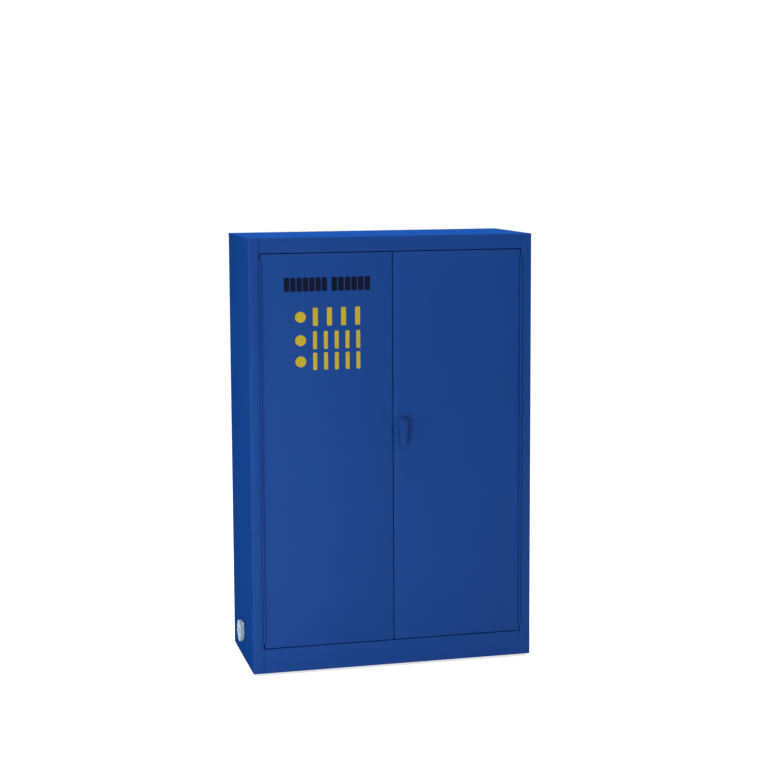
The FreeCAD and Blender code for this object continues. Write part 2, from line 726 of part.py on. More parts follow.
def handle_base():
    """Plate behind the handle."""
    body = spindle_piece("handle_base")
    drop = "-screw_first_drop"
    span(body, "y", "-base_gauge", "0", teardrop("base_radius", "base_radius", "base_drop"),
         circle("0", "0", "spindle_radius + turn_clearance"),
         circle("0", drop, "screw_radius + turn_clearance"),
         circle("0", f"{drop} - screw_spacing", "screw_radius + turn_clearance"))
    soften(body, "base_gauge * 0.3", outline_edges("-base_gauge"), kind="Chamfer")


def handle_screws():
    """Screws that hold the handle base, hidden behind the hanging handle."""
    body = spindle_piece("handle_screws")
    for drop in ("-screw_first_drop", "-screw_first_drop - screw_spacing"):
        span(body, "y", "-base_gauge - screw_head_height", "-base_gauge", hexagon("0", drop, "screw_flat"))
        span(body, "y", "-base_gauge", "screw_length - base_gauge", circle("0", drop, "screw_radius"))


def lever_handle():
    """Handle: a round hub with a tapering blade, bored for the lock and socketed for the spindle."""
    body = spindle_piece("lever_handle")
    hub_front = "-(handle_reach - hub_setback)"
    hub_back = "-(base_gauge + face_clearance)"
    span(body, "y", "-blade_front", "-blade_front + blade_gauge",
         teardrop("hub_radius", "blade_end_radius", "blade_drop"))
    soften(body, "blade_gauge * 0.2", outline_edges("-blade_front"), kind="Chamfer")
    span(body, "y", hub_front, hub_back, circle("0", "0", "hub_radius - hub_setback"))
    span(body, "y", f"{hub_front} - 1", "-(handle_reach - lock_depth)",
         circle("0", "0", "lock_radius + turn_clearance"), cut=True)
    socket = "(spindle_square / 2)"
    span(body, "y", f"{hub_back} - square_depth", f"{hub_back} + 1",
         rectangle(f"-{socket}", f"-{socket}", socket, socket), cut=True)


def latch_cam():
    """Spindle with the cam plate: a tongue for the other door and two pins for the rods."""
    body = spindle_piece("latch_cam")
    hub_back = "-(base_gauge + face_clearance)"
    socket = "(spindle_square / 2 - turn_clearance)"
    span(body, "y", hub_back, "cam_plane", circle("0", "0", "spindle_radius"))
    span(body, "y", f"{hub_back} - square_depth + face_clearance", hub_back,
         rectangle(f"-{socket}", f"-{socket}", socket, socket))
    span(body, "y", "cam_plane", "cam_plane + cam_gauge", circle("0", "0", "cam_radius"))
    span(body, "y", "cam_plane", "cam_plane + cam_gauge",
         rectangle("-tongue_width / 2", "0", "tongue_width / 2", "tongue_reach"))
    soften(body, "tongue_width * 0.3", edges_where("y", x="tongue_width / 2", z="tongue_reach"),
           edges_where("y", x="-tongue_width / 2", z="tongue_reach"))
    pins = [circle(f"{way} * {CAM_PIN}", f"{-way} * {CAM_PIN}", "cam_pin_radius") for way in (1, -1)]
    span(body, "y", "cam_plane + cam_gauge", "cam_plane + cam_gauge + cam_pin_length", *pins)


def lock_cylinder():
    """Key cylinder in the hub of the handle."""
    body = spindle_piece("lock_cylinder")
    span(body, "y", "-handle_reach", "-(handle_reach - lock_depth) - face_clearance",
         circle("0", "0", "lock_radius"))
    across, along = "(keyway_width / 2)", "(keyway_height / 2)"
    keyway = rectangle(f"-{across}", f"-{along}", across, along)
    span(body, "y", "-handle_reach - 1", "-handle_reach + keyway_depth", keyway, cut=True)


def latch_rod(label, way, reach):
    """Flat rod with a yoke slot at the cam and a round nose; way is 1 for the upper rod, -1 for the lower."""
    x = f"spindle_setoff + {way} * rod_setoff"
    body = piece(label, x=x, y=f"{FRONT} + rod_plane", z="spindle_height")
    tail = f"{-way} * ({CAM_PIN} + rod_tail)"
    bar_end = f"{way} * ({reach} - tip_length + tip_overlap)"
    slack = "(cam_pin_radius + yoke_clearance)"
    slot_in = f"{way} * ({CAM_PIN} - rod_setoff - {slack})"
    slot_out = f"{way} * (rod_travel / sqrt(2) - rod_setoff + {slack})"
    pin_level = f"({-way} * {CAM_PIN})"
    span(body, "y", "-rod_gauge / 2", "rod_gauge / 2",
         rectangle("-rod_width / 2", tail, "rod_width / 2", bar_end),
         rectangle(slot_in, f"{pin_level} - {slack}", slot_out, f"{pin_level} + {slack}"))
    tip_end = f"{way} * {reach}"
    low, high = outward(way, f"{reach} - tip_length", reach)
    span(body, "z", low, high, circle("0", "0", "tip_radius"))
    soften(body, "tip_nose", edges_where(z=tip_end, circles=True), kind="Chamfer")


def rod_guides():
    """Guides that hold the rods to the door skin, and the bushes at the door edges."""
    body = spindle_piece("rod_guides")
    half_width, half_gauge = "(rod_width / 2 + guide_clearance)", "(rod_gauge / 2 + guide_clearance)"
    for way, edge in ((1, f"{DOOR_HIGH} - spindle_height"), (-1, f"{DOOR_LOW} - spindle_height")):
        x = f"({way} * rod_setoff)"
        block = rectangle(f"{x} - {half_width} - guide_wall", "sheet_gauge",
                          f"{x} + {half_width} + guide_wall", f"rod_plane + {half_gauge} + guide_wall")
        window = rectangle(f"{x} - {half_width}", f"rod_plane - {half_gauge}",
                           f"{x} + {half_width}", f"rod_plane + {half_gauge}")
        for step in (1, 2):
            level = f"({way} * {step} * guide_spacing)"
            span(body, "z", f"{level} - guide_height / 2", f"{level} + guide_height / 2", block, window)
        bush_end = f"({way} * ({edge}) - sheet_gauge)"
        low, high = outward(way, f"{bush_end} - bush_length", bush_end)
        bore = "tip_radius + tip_clearance"
        span(body, "z", low, high,
             circle(x, "rod_plane", f"{bore} + bush_wall"), circle(x, "rod_plane", bore))


# ---------------------------------------------------------------- vents

def vent_piece(label, side):
    """A piece whose origin is on a vent axis in the plane of the side panel."""
    return piece(label, x=mirrored(side, HALF), y=f"{FRONT} + {VENT_Y}", z=vent_level(side))


def vent_bodies():
    """Threaded collars through both walls, each with a flange outside."""
    body = piece("vent_bodies")
    for side in (-1, 1):
        ring = [circle(VENT_Y, vent_level(side), radius)
                for radius in ("vent_radius", "vent_flange_radius", "vent_bore")]
        low, high = outward(side, f"{JAMB} - vent_inside", f"{HALF} + vent_collar")
        span(body, "x", low, high, ring[0], ring[2])
        low, high = outward(side, HALF, f"{HALF} + vent_flange_gauge")
        span(body, "x", low, high, ring[1], ring[2])


def vent_cap(label, side):
    """Screw cap over the collar, with a grip bar across its face."""
    body = piece(label, x=mirrored(side, HALF), y=f"{FRONT} + {VENT_Y}", z=vent_level(side))
    face = "cap_reach - cap_bar_height"
    low, high = outward(side, "vent_flange_gauge + face_clearance", face)
    span(body, "x", low, high, circle("0", "0", "cap_radius"))
    low, high = outward(side, "0", "vent_collar + face_clearance")
    span(body, "x", low, high, circle("0", "0", "vent_radius + turn_clearance"), cut=True)
    reach, half = "cap_radius * 0.7", "(cap_bar_width / 2)"
    low, high = outward(side, face, "cap_reach")
    span(body, "x", low, high, rectangle(f"-{reach}", f"-{half}", reach, half))


def vent_locknuts():
    """Nuts that clamp the vent collars from inside."""
    body = piece("vent_locknuts")
    for side in (-1, 1):
        y, z = VENT_Y, vent_level(side)
        low, high = outward(side, f"{JAMB} - locknut_gauge", JAMB)
        span(body, "x", low, high,
             hexagon(y, z, "2 * locknut_radius"), circle(y, z, "vent_radius + turn_clearance"))


def flame_arresters():
    """Slotted discs in the inner ends of the vents."""
    body = piece("flame_arresters")
    for side in (-1, 1):
        y, z = VENT_Y, vent_level(side)
        slots = []
        for step in range(-ARRESTER_SLOTS, ARRESTER_SLOTS + 1):
            across = f"({y} + {step} * arrester_pitch)"
            corner = f"({abs(step)} * arrester_pitch + arrester_slot / 2)"
            reach = f"sqrt((vent_bore - arrester_rim) ^ 2 - {corner} ^ 2)"
            slots.append(rectangle(f"{across} - arrester_slot / 2", f"{z} - {reach}",
                                   f"{across} + arrester_slot / 2", f"{z} + {reach}"))
        end = f"({JAMB} - vent_inside + arrester_gauge)"
        low, high = outward(side, end, f"{end} + arrester_gauge")
        span(body, "x", low, high, circle(y, z, "vent_bore"), *slots)


# ---------------------------------------------------------------- shelves and trays

def uprights(label, side):
    """The two slotted shelf standards of one side."""
    body = piece(label)
    sections, slots = [], []
    for y in ("upright_setback", UPRIGHT_REAR):
        low, high = f"({y} - upright_width / 2)", f"({y} + upright_width / 2)"
        path = [(JAMB, low), (UPRIGHT_FACE, low), (UPRIGHT_FACE, high), (JAMB, high)]
        path = [(mirrored(side, x), place) for x, place in path]
        sections.append(folded(path, "shelf_gauge", side=-side))
        slots.append(rectangle(f"{y} - slot_width / 2", f"{FIRST_SLOT} - slot_length / 2",
                               f"{y} + slot_width / 2", f"{FIRST_SLOT} + slot_length / 2"))
    span(body, "z", UPRIGHT_LOW, UPRIGHT_HIGH, *sections)
    low, high = outward(side, f"{UPRIGHT_FACE} - 1", f"{UPRIGHT_FACE} + 2 * shelf_gauge")
    first = span(body, "x", low, high, *slots, cut=True)
    count = f"floor(({UPRIGHT_HIGH} - {FIRST_SLOT}) / slot_pitch)"
    repeat(body, [first], "z", count, f"({count} - 1) * slot_pitch")


def slot_place(slot):
    """Height of a numbered slot of the uprights."""
    return f"({FIRST_SLOT} + {slot} * slot_pitch)"


def shelf_clips(label, slot):
    """Four clips hooked into the uprights at one level."""
    level = f"{slot_place(slot)} + clip_rise"
    body = piece(label, z=level)
    clips, hooks = [], []
    for side in (-1, 1):
        tab_end = f"{UPRIGHT_FACE} - clip_gauge - clip_tab"
        path = [(tab_end, "0"), (UPRIGHT_FACE, "0"), (UPRIGHT_FACE, "-clip_drop")]
        clips.append(folded([(mirrored(side, x), z) for x, z in path], "clip_gauge", side=-side))
        low, high = outward(side, UPRIGHT_FACE, f"{UPRIGHT_FACE} + hook_reach")
        hooks.append(rectangle(low, "-clip_rise - hook_height / 2", high, "-clip_rise + hook_height / 2"))
    tab = span(body, "y", "upright_setback - clip_width / 2", "upright_setback + clip_width / 2", *clips)
    hook = span(body, "y", "upright_setback - hook_width / 2", "upright_setback + hook_width / 2", *hooks)
    repeat(body, [tab, hook], "y", "2", f"{UPRIGHT_REAR} - upright_setback")


def shelf(label, slot):
    """Folded shelf with front and back skirts, lying on the clips."""
    body = piece(label, z=f"{slot_place(slot)} + clip_rise")
    front, back = "shelf_setback", f"({LINER_BACK} - shelf_rear_gap)"
    path = [(f"{front} + shelf_lip", "-shelf_skirt"), (front, "-shelf_skirt"), (front, "shelf_gauge"),
            (back, "shelf_gauge"), (back, "-shelf_skirt"), (f"{back} - shelf_lip", "-shelf_skirt")]
    span(body, "x", f"-{SHELF_HALF}", SHELF_HALF, folded(path, "shelf_gauge", side=-1))
    soften(body, "shelf_gauge", edges_where("x", y=front, z="shelf_gauge"),
           edges_where("x", y=back, z="shelf_gauge"))


def tray(label, floor, end_gap, height):
    """Moulded tray: drafted walls, round corners and a turned rim."""
    middle = f"(({STOP} + {LINER_BACK}) / 2)"
    body = piece(label, y=f"{FRONT} + {middle}", z=f"{floor} + tray_seat")
    run = f"({height} * tan(tray_draft * 1 deg))"
    half_x, half_y = f"({SHELF_HALF} - tray_side_gap)", f"(({LINER_BACK} - {STOP}) / 2 - {end_gap})"
    inner_x, inner_y = f"({half_x} - {run} - tray_wall)", f"({half_y} - {run} - tray_wall)"
    span(body, "z", "0", height, rounded(f"({half_x} - {run})", f"({half_y} - {run})", "tray_radius"),
         taper="tray_draft")
    span(body, "z", f"{height} - tray_wall", height,
         rounded(f"({half_x} + tray_rim)", f"({half_y} + tray_rim)", "(tray_radius + tray_rim)"))
    span(body, "z", "tray_wall", f"{height} + 1",
         rounded(inner_x, inner_y, "(tray_radius - tray_wall)"), cut=True, taper="tray_draft")


# ---------------------------------------------------------------- feet and ground stud

def leveling_foot(label, x, y):
    """Screw foot: a hexagonal pad, turned with a wrench, under a threaded stud."""
    body = piece(label, x=x, y=f"{FRONT} + {y}")
    span(body, "z", "0", "foot_pad", hexagon("0", "0", "foot_flat"))
    span(body, "z", "foot_pad", "foot_stud_top", circle("0", "0", "foot_stud_radius"))


def ground_stud():
    """Stud for a ground wire low on the right side, with its washer and nut."""
    body = piece("ground_stud", x=HALF, y=f"{FRONT} + cabinet_depth - ground_rear_gap", z="ground_height")
    nut_top = "(ground_washer_gauge + ground_nut_height)"
    span(body, "x", "0", "ground_reach", circle("0", "0", "ground_radius"))
    span(body, "x", "0", "ground_washer_gauge", circle("0", "0", "ground_washer_radius"))
    span(body, "x", "ground_washer_gauge", nut_top, hexagon("0", "0", "ground_nut_flat"))


for name, side in (("left", -1), ("right", 1)):
    side_panel(f"{name}_side_panel", side)
    side_liner(f"liner_{name}", side)
    hinge_leaf(f"{name}_hinge_frame_leaf", side, on_door=False)
    hinge_leaf(f"{name}_hinge_door_leaf", side, on_door=True)
    hinge_pin(f"{name}_hinge_pin", side)
    door_skin(f"{name}_door_skin", side)
    door_back(f"{name}_door_back", side)
    door_stiffener(f"{name}_door_stiffener", side)
    vent_cap(f"{name}_vent_cap", side)
    uprights(f"{name}_uprights", side)
back_panel()
top_panel()
base_panel()
header_rail()
sill_rail()
rod_strikes()
back_liner()
top_liner()
sump_pan()
sump_supports()
wall_spacers()
slot_plate("tongue_strike", -1)
slot_plate("latch_plate", 1)
handle_base()
handle_screws()
lever_handle()
latch_cam()
lock_cylinder()
latch_rod("top_rod", 1, TOP_REACH)
latch_rod("bottom_rod", -1, LOW_REACH)
rod_guides()
vent_bodies()
vent_locknuts()
flame_arresters()
for name, slot in (("lower", "lower_slot_count"), ("upper", "upper_slot_count")):
    shelf_clips(f"{name}_shelf_clips", slot)
    shelf(f"{name}_shelf", slot)
    tray(f"{name}_tray", f"{slot_place(slot)} + clip_rise + shelf_gauge", "tray_end_gap", "tray_height")
tray("sump_tray", SUMP, "sump_tray_end_gap", "sump_tray_height")
for count, (x, y) in enumerate(foot_places(), start=1):
    leveling_foot(f"leveling_foot_{count}", x, y)
ground_stud()

doc.recompute()
for item in doc.Objects:
    if "Invalid" in item.State or "Error" in item.State:
        raise RuntimeError(f"{item.Label} failed: {item.State}")
os.makedirs("parts", exist_ok=True)
for body in PIECES:
    shape = body.Shape
    if shape.isNull() or not shape.isValid():
        raise RuntimeError(f"{body.Label} has no valid shape")
    shape.exportStep(f"parts/{body.Label}.step")
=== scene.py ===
"""Two-door acid storage cabinet: the visual model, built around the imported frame.

Everything is in metres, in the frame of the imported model: +X to the right seen from the doors, +Y
from the doors to the back, +Z up. Each sub-assembly is a class that shapes its pieces and dresses
them.
"""

import logging
import math
from collections.abc import Callable, Iterator
from contextlib import contextmanager
from dataclasses import dataclass
from enum import Enum

import bmesh
import bpy
from mathutils import Matrix, Vector


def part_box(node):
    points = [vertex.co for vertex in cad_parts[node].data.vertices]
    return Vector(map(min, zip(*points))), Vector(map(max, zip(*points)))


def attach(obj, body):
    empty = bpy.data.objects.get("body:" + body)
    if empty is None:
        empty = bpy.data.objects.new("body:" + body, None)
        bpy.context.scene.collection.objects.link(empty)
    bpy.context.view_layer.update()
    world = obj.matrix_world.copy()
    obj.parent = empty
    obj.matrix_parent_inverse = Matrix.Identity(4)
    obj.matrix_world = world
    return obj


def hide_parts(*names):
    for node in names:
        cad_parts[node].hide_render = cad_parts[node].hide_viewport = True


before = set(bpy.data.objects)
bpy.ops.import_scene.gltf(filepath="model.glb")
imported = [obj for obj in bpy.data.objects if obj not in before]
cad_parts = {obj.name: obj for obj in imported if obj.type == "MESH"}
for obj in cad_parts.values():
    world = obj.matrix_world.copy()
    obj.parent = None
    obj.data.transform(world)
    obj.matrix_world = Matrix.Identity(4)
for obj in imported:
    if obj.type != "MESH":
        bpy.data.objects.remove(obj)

LOG = logging.getLogger("cabinet")
MM = 0.001
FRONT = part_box("top_panel")[0].y  # plane of the door faces
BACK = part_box("top_panel")[1].y  # plane of the back flanges
SHEET = 1.2 * MM  # gauge of the folded steel sheets
WELD_RADIUS = 3.0 * MM  # mark of a spot weld
WELD_DEPTH = 0.25 * MM
SHARP = math.radians(50)  # edges sharper than this are rounded
SMOOTH = math.radians(32)  # edges flatter than this are shaded smooth
FACING = 0.9  # a face looks along an axis if its normal has more than this there
CLOSE = 0.1 * MM  # places nearer than this count as the same
BEYOND = 1.0 * MM  # how far a tool runs past the face that it cuts
Point = tuple[float, float, float]
Place = tuple[float, float]
Piece = bpy.types.Object


class Element(Enum):
    """What is picked in edit mode."""

    FACE = "faces"
    EDGE = "edges"


class Run(Enum):
    """Direction in which the bends of a folded sheet run."""

    UP = "Z"
    ACROSS = "X"


def take(*pieces: Piece) -> None:
    """Select these pieces alone, the first of them active; with none, leave all unselected.

    Args:
        *pieces: The pieces to work on.
    """
    bpy.ops.object.select_all(action="DESELECT")
    for piece in pieces:
        piece.select_set(True)
    if pieces:
        bpy.context.view_layer.objects.active = pieces[0]


def named(name: str) -> Piece:
    """Name what the last operator made.

    Args:
        name: Its name.

    Returns:
        The object.
    """
    piece = bpy.context.active_object
    piece.name = name
    return piece


def set_in_mesh(piece: Piece) -> None:
    """Move the place, turn and scale of a piece into its mesh."""
    take(piece)
    bpy.ops.object.transform_apply(location=True, rotation=True, scale=True)


def middle_of(node: str) -> Vector:
    """Middle of the box of a node."""
    low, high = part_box(node)
    return (low + high) / 2


def evenly(first: float, last: float, count: int) -> list[float]:
    """Places at equal steps from the first to the last."""
    return [first + step * (last - first) / (count - 1) for step in range(count)]


@contextmanager
def in_edit_mode(piece: Piece) -> Iterator[None]:
    """Work on the mesh of a piece in edit mode.

    Args:
        piece: The piece.
    """
    take(piece)
    bpy.ops.object.mode_set(mode="EDIT")
    yield
    bpy.ops.object.mode_set(mode="OBJECT")


def pick(piece: Piece, element: Element, test: Callable[..., bool]) -> None:
    """Select the faces or edges that pass a test, in edit mode.

    Args:
        piece: The piece in edit mode.
        element: Faces or edges.
        test: Says whether one of them is wanted.
    """
    bpy.ops.mesh.select_mode(type=element.name)
    bpy.ops.mesh.select_all(action="DESELECT")
    mesh = bmesh.from_edit_mesh(piece.data)
    for part in getattr(mesh, element.value):
        part.select_set(test(part))
    bmesh.update_edit_mesh(piece.data)


def soften(width: float, segments: int = 4) -> None:
    """Round the selected edges, in edit mode."""
    bpy.ops.mesh.bevel(offset=width, segments=segments, affect="EDGES")


def extrude(shift: Vector) -> None:
    """Extrude what is selected, in edit mode."""
    bpy.ops.mesh.extrude_region_move(TRANSFORM_OT_translate={"value": shift})


def use_modifier(piece: Piece, kind: str, **settings: object) -> None:
    """Add a modifier, set it and apply it.

    Args:
        piece: The piece.
        kind: Type of the modifier.
        **settings: Its properties.
    """
    take(piece)
    bpy.ops.object.modifier_add(type=kind)
    modifier = piece.modifiers[-1]
    for name, value in settings.items():
        setattr(modifier, name, value)
    bpy.ops.object.modifier_apply(modifier=modifier.name)


def round_edges(piece: Piece, width: float, segments: int = 3) -> None:
    """Round every sharp edge, with this many faces across."""
    use_modifier(piece, "BEVEL", width=width, segments=segments, limit_method="ANGLE",
                 angle_limit=SHARP)


def stack(piece: Piece, count: int, pitch: float) -> None:
    """Repeat a shape upwards."""
    use_modifier(piece, "ARRAY", count=count, use_relative_offset=False,
                 use_constant_offset=True, constant_offset_displace=(0.0, 0.0, pitch))


def combine(piece: Piece, tool: Piece, joined: bool = False) -> None:
    """Cut a tool out of a piece, or join it on, and remove the tool."""
    use_modifier(piece, "BOOLEAN", operation="UNION" if joined else "DIFFERENCE", object=tool,
                 solver="EXACT")
    bpy.data.objects.remove(tool)


def merge(name: str, parts: list[Piece]) -> Piece:
    """Put several separate shapes into one piece.

    Args:
        name: Name of the piece.
        parts: The shapes.

    Returns:
        The piece.
    """
    take(*parts)
    bpy.ops.object.join()
    return named(name)


def block(name: str, low: Point, high: Point) -> Piece:
    """Start a piece as a box between two corners.

    Args:
        name: Name of the piece.
        low: Lowest corner.
        high: Highest corner.

    Returns:
        The new piece.
    """
    take()
    near, far = Vector(low), Vector(high)
    bpy.ops.mesh.primitive_cube_add(size=1.0, location=(near + far) / 2)
    piece = named(name)
    piece.scale = far - near
    set_in_mesh(piece)
    return piece


def drum(name: str, start: Point, end: Point, radius: float, sides: int = 64,
         soft: float = 0.0, segments: int = 3) -> Piece:
    """Start a piece as a cylinder between two points.

    Args:
        name: Name of the piece.
        start: Middle of the first end.
        end: Middle of the other end.
        radius: Radius of the cylinder.
        sides: Number of its side faces.
        soft: Width of the rounding of its sharp edges.
        segments: Faces across that rounding.

    Returns:
        The new piece.
    """
    take()
    run = Vector(end) - Vector(start)
    turn = run.to_track_quat("Z", "Y").to_euler()
    bpy.ops.mesh.primitive_cylinder_add(vertices=sides, radius=radius, depth=run.length,
                                        location=(Vector(start) + Vector(end)) / 2, rotation=turn)
    piece = named(name)
    set_in_mesh(piece)
    if soft:
        round_edges(piece, soft, segments)
    return piece


def folded(name: str, path: list[Place], run: Run, ends: Place, gauge: float, side: int,
           bend: float) -> Piece:
    """Fold a strip of sheet along a line, with round bends.

    Args:
        name: Name of the piece.
        path: Outer line of the section: X and Y if the bends run up, Y and Z if across.
        run: Direction of the bends.
        ends: Lower and upper end along the bends.
        gauge: Thickness of the sheet.
        side: 1 if the sheet lies to the left of the line, -1 if to the right.
        bend: Outer radius of the bends.

    Returns:
        The folded sheet.
    """
    def point(place: Place, level: float) -> Vector:
        """A corner of the sheet."""
        return Vector((*place, level)) if run is Run.UP else Vector((level, *place))

    take()
    bpy.ops.mesh.primitive_plane_add()
    piece = named(name)
    corners = [point(place, ends[0]) for place in path]
    line = Vector(path[1]) - Vector(path[0])
    normal = point((-line.y * side, line.x * side), 0.0)
    middle = (corners[0] + point(path[1], ends[1])) / 2
    with in_edit_mode(piece):
        bpy.ops.mesh.select_mode(type="VERT")
        mesh = bmesh.from_edit_mesh(piece.data)
        mesh.verts.ensure_lookup_table()
        bmesh.ops.delete(mesh, geom=[mesh.verts[1], mesh.verts[3]], context="VERTS")
        for vert, level in zip(mesh.verts, ends):
            vert.co = point(path[0], level)
        bmesh.update_edit_mesh(piece.data)
        bpy.ops.mesh.select_all(action="SELECT")
        for near, far in zip(corners, corners[1:]):
            extrude(far - near)
        bpy.ops.mesh.select_all(action="SELECT")
        bpy.ops.mesh.normals_make_consistent(inside=False)
        mesh = bmesh.from_edit_mesh(piece.data)
        first = min(mesh.faces, key=lambda face: (face.calc_center_median() - middle).length)
        if first.normal.dot(normal) < 0:
            bpy.ops.mesh.flip_normals()
        pick(piece, Element.EDGE, lambda edge: not edge.is_boundary)
        soften(bend)
    use_modifier(piece, "SOLIDIFY", thickness=gauge, offset=1.0, use_even_offset=True)
    return piece


def weld_marks(piece: Piece, places: list[Point]) -> None:
    """Press the shallow round marks of spot welds into the back of a sheet.

    Args:
        piece: The sheet.
        places: Middles of the marks, on its surface.
    """
    tools = [drum("weld_mark", (x, y - WELD_DEPTH, z), (x, y + 4 * WELD_DEPTH, z), WELD_RADIUS, 16)
             for x, y, z in places]
    combine(piece, merge("weld_marks", tools))


def linear(colour: str) -> tuple[float, float, float, float]:
    """Turn an sRGB hex colour into the linear values that a shader takes.

    Args:
        colour: Colour such as "#1D4489".

    Returns:
        Linear red, green, blue and an alpha of one.
    """
    parts = [int(colour[start:start + 2], 16) / 255 for start in (1, 3, 5)]
    red, green, blue = [part / 12.92 if part <= 0.04045 else ((part + 0.055) / 1.055) ** 2.4
                        for part in parts]
    return red, green, blue, 1.0


def add_node(tree: bpy.types.NodeTree, kind: str, inputs: dict[str | int, object] | None = None,
             **settings: object) -> bpy.types.Node:
    """Add a node with its settings, values and links.

    Args:
        tree: The node tree.
        kind: Type of the node, without its prefix.
        inputs: For each input, a value or the output that is linked to it.
        **settings: Properties of the node.

    Returns:
        The node.
    """
    node = tree.nodes.new(f"ShaderNode{kind}")
    for name, value in settings.items():
        setattr(node, name, value)
    for name, value in (inputs or {}).items():
        if isinstance(value, bpy.types.NodeSocket):
            tree.links.new(value, node.inputs[name])
        else:
            node.inputs[name].default_value = value
    return node


class Surface(Enum):
    """How a surface was made, which gives the form of its fine relief."""

    PEEL = "sprayed and baked, a shallow orange peel"
    BRUSHED = "drawn over an abrasive, long fine lines"
    PLATED = "dipped, faint cloudy crystals"
    MOULDED = "moulded, an even fine grain"
    FILM = "cast film, nearly smooth"


@dataclass(frozen=True)
class Finish:
    """One finish: its colour, its sheen and the relief of its surface."""

    name: str
    slot: str  # material slot of the record
    colour: str
    drift: str  # the colour where the coat is a little thinner or older
    surface: Surface
    grain_mm: float  # size of one bump, line or crystal
    depth_mm: float  # height of the relief
    roughness: float
    swing: float = 0.06  # how much the roughness drifts over the surface
    metallic: float = 0.0
    specular: float = 0.5
    grazing: float = 1.0  # share of the gloss that is left at a flat angle
    drift_mm: float = 240.0  # size of the patches of the drifting colour

    def material(self) -> bpy.types.Material:
        """Give the material, made on first use."""
        return bpy.data.materials.get(self.name) or self._made()

    def _stretch(self) -> Point:
        """Scale of the grain along X, Y and Z, in cells per metre."""
        cells = 1.0 / (self.grain_mm * MM)
        return cells, cells, cells / 60 if self.surface is Surface.BRUSHED else cells

    def _made(self) -> bpy.types.Material:
        """Build the node material.

        Returns:
            The material.
        """
        material = bpy.data.materials.new(self.name)
        material.use_nodes = True
        tree = material.node_tree
        shader = tree.nodes["Principled BSDF"]
        shader.inputs["Metallic"].default_value = self.metallic
        shader.inputs["Specular IOR Level"].default_value = self.specular
        if self.grazing < 1.0:
            lean = add_node(tree, "LayerWeight", {"Blend": 0.5})
            gloss = add_node(tree, "MapRange",
                             {"Value": lean.outputs["Facing"], "From Min": 0.2, "From Max": 0.7,
                              "To Min": self.specular, "To Max": self.specular * self.grazing})
            tree.links.new(gloss.outputs["Result"], shader.inputs["Specular IOR Level"])
        place = add_node(tree, "TexCoord").outputs["Object"]
        patches = add_node(tree, "TexNoise", {
            "Vector": place, "Scale": 1.0 / (self.drift_mm * MM), "Detail": 3.0})
        tone = add_node(tree, "Mix", {
            "Factor": patches.outputs["Fac"], "A": linear(self.colour), "B": linear(self.drift)},
            data_type="RGBA")
        mixed = next(socket for socket in tone.outputs if socket.type == "RGBA")
        stretched = add_node(tree, "Mapping", {"Vector": place, "Scale": self._stretch()})
        if self.surface is Surface.PLATED:
            kind, extra, relief = "TexVoronoi", {}, "Distance"
        else:
            kind, extra, relief = "TexNoise", {"Detail": 2.0}, "Fac"
        grain = add_node(tree, kind, {"Vector": stretched.outputs["Vector"], "Scale": 1.0, **extra})
        sheen = add_node(tree, "MapRange", {
            "Value": patches.outputs["Fac"], "From Min": 0.3, "From Max": 0.7,
            "To Min": self.roughness - self.swing, "To Max": self.roughness + self.swing})
        bump = add_node(tree, "Bump", {
            "Height": grain.outputs[relief], "Strength": 1.0, "Distance": self.depth_mm * MM})
        tree.links.new(mixed, shader.inputs["Base Color"])
        tree.links.new(sheen.outputs["Result"], shader.inputs["Roughness"])
        tree.links.new(bump.outputs["Normal"], shader.inputs["Normal"])
        return material


# Polyester powder coat, sprayed and baked: an even satin blue with a shallow orange peel.
BLUE_COAT = Finish("powder_coat_blue", "blue_enamel", "#17448E", "#154188", Surface.PEEL,
                   3.0, 0.03, 0.5, specular=0.12, grazing=0.0)
# The same coat inside the cabinet, drawn a little lighter and glossier: painted light against the
# shade inside.
BLUE_COAT_LIGHTENED_INSIDE = Finish("powder_coat_blue_inside", "blue_enamel_inside", "#184795", "#16448F",
                          Surface.PEEL, 3.0, 0.03, 0.48, specular=0.14, grazing=0.0)
# Bright zinc on folded steel: cool grey with faint cloudy crystals.
ZINC = Finish("zinc_plated_steel", "zinc_plate", "#B9BEC4", "#A3A9B0", Surface.PLATED,
              9.0, 0.01, 0.34, metallic=1.0, drift_mm=60.0)
# Black chrome on a die casting: blue-black with a soft sheen.
CHROME = Finish("black_chrome_plate", "chrome_plate", "#2B4076", "#27396A", Surface.FILM,
                20.0, 0.004, 0.3, swing=0.03, metallic=1.0, drift_mm=40.0)
# Drawn wire and rod of brass: warm, slightly dulled.
BRASS = Finish("drawn_brass", "brass_screen", "#B58E47", "#9A7838", Surface.BRUSHED,
               0.5, 0.01, 0.32, metallic=1.0, drift_mm=30.0)
# Hot-dip galvanised sheet of the shelves: pale grey zinc, clouded by its crystals.
GALVANISED = Finish("galvanised_sheet", "galvanised_shelf", "#BCC2C7", "#9CA3AA", Surface.PLATED,
                    14.0, 0.015, 0.42, metallic=1.0, drift_mm=45.0)
# Rotation-moulded polyethylene: milky white with a waxy sheen.
POLYETHYLENE = Finish("moulded_polyethylene", "white_polyethylene", "#E4E6E2", "#D9DCD6",
                      Surface.MOULDED, 1.6, 0.03, 0.45, specular=0.4, drift_mm=120.0)
# Injection-moulded cap: pale blue, patched at random with greenish yellow.
CAP_PLASTIC = Finish("moulded_cap_plastic", "vent_plastic", "#9ABBE2", "#A3AE82", Surface.MOULDED,
                     1.2, 0.02, 0.38, specular=0.4, drift_mm=36.0)
# Moulded rubber under the feet: near black and dull.
RUBBER = Finish("moulded_rubber", "foot_rubber", "#1B1B1D", "#242426", Surface.MOULDED,
                0.8, 0.05, 0.78, specular=0.3, drift_mm=20.0)
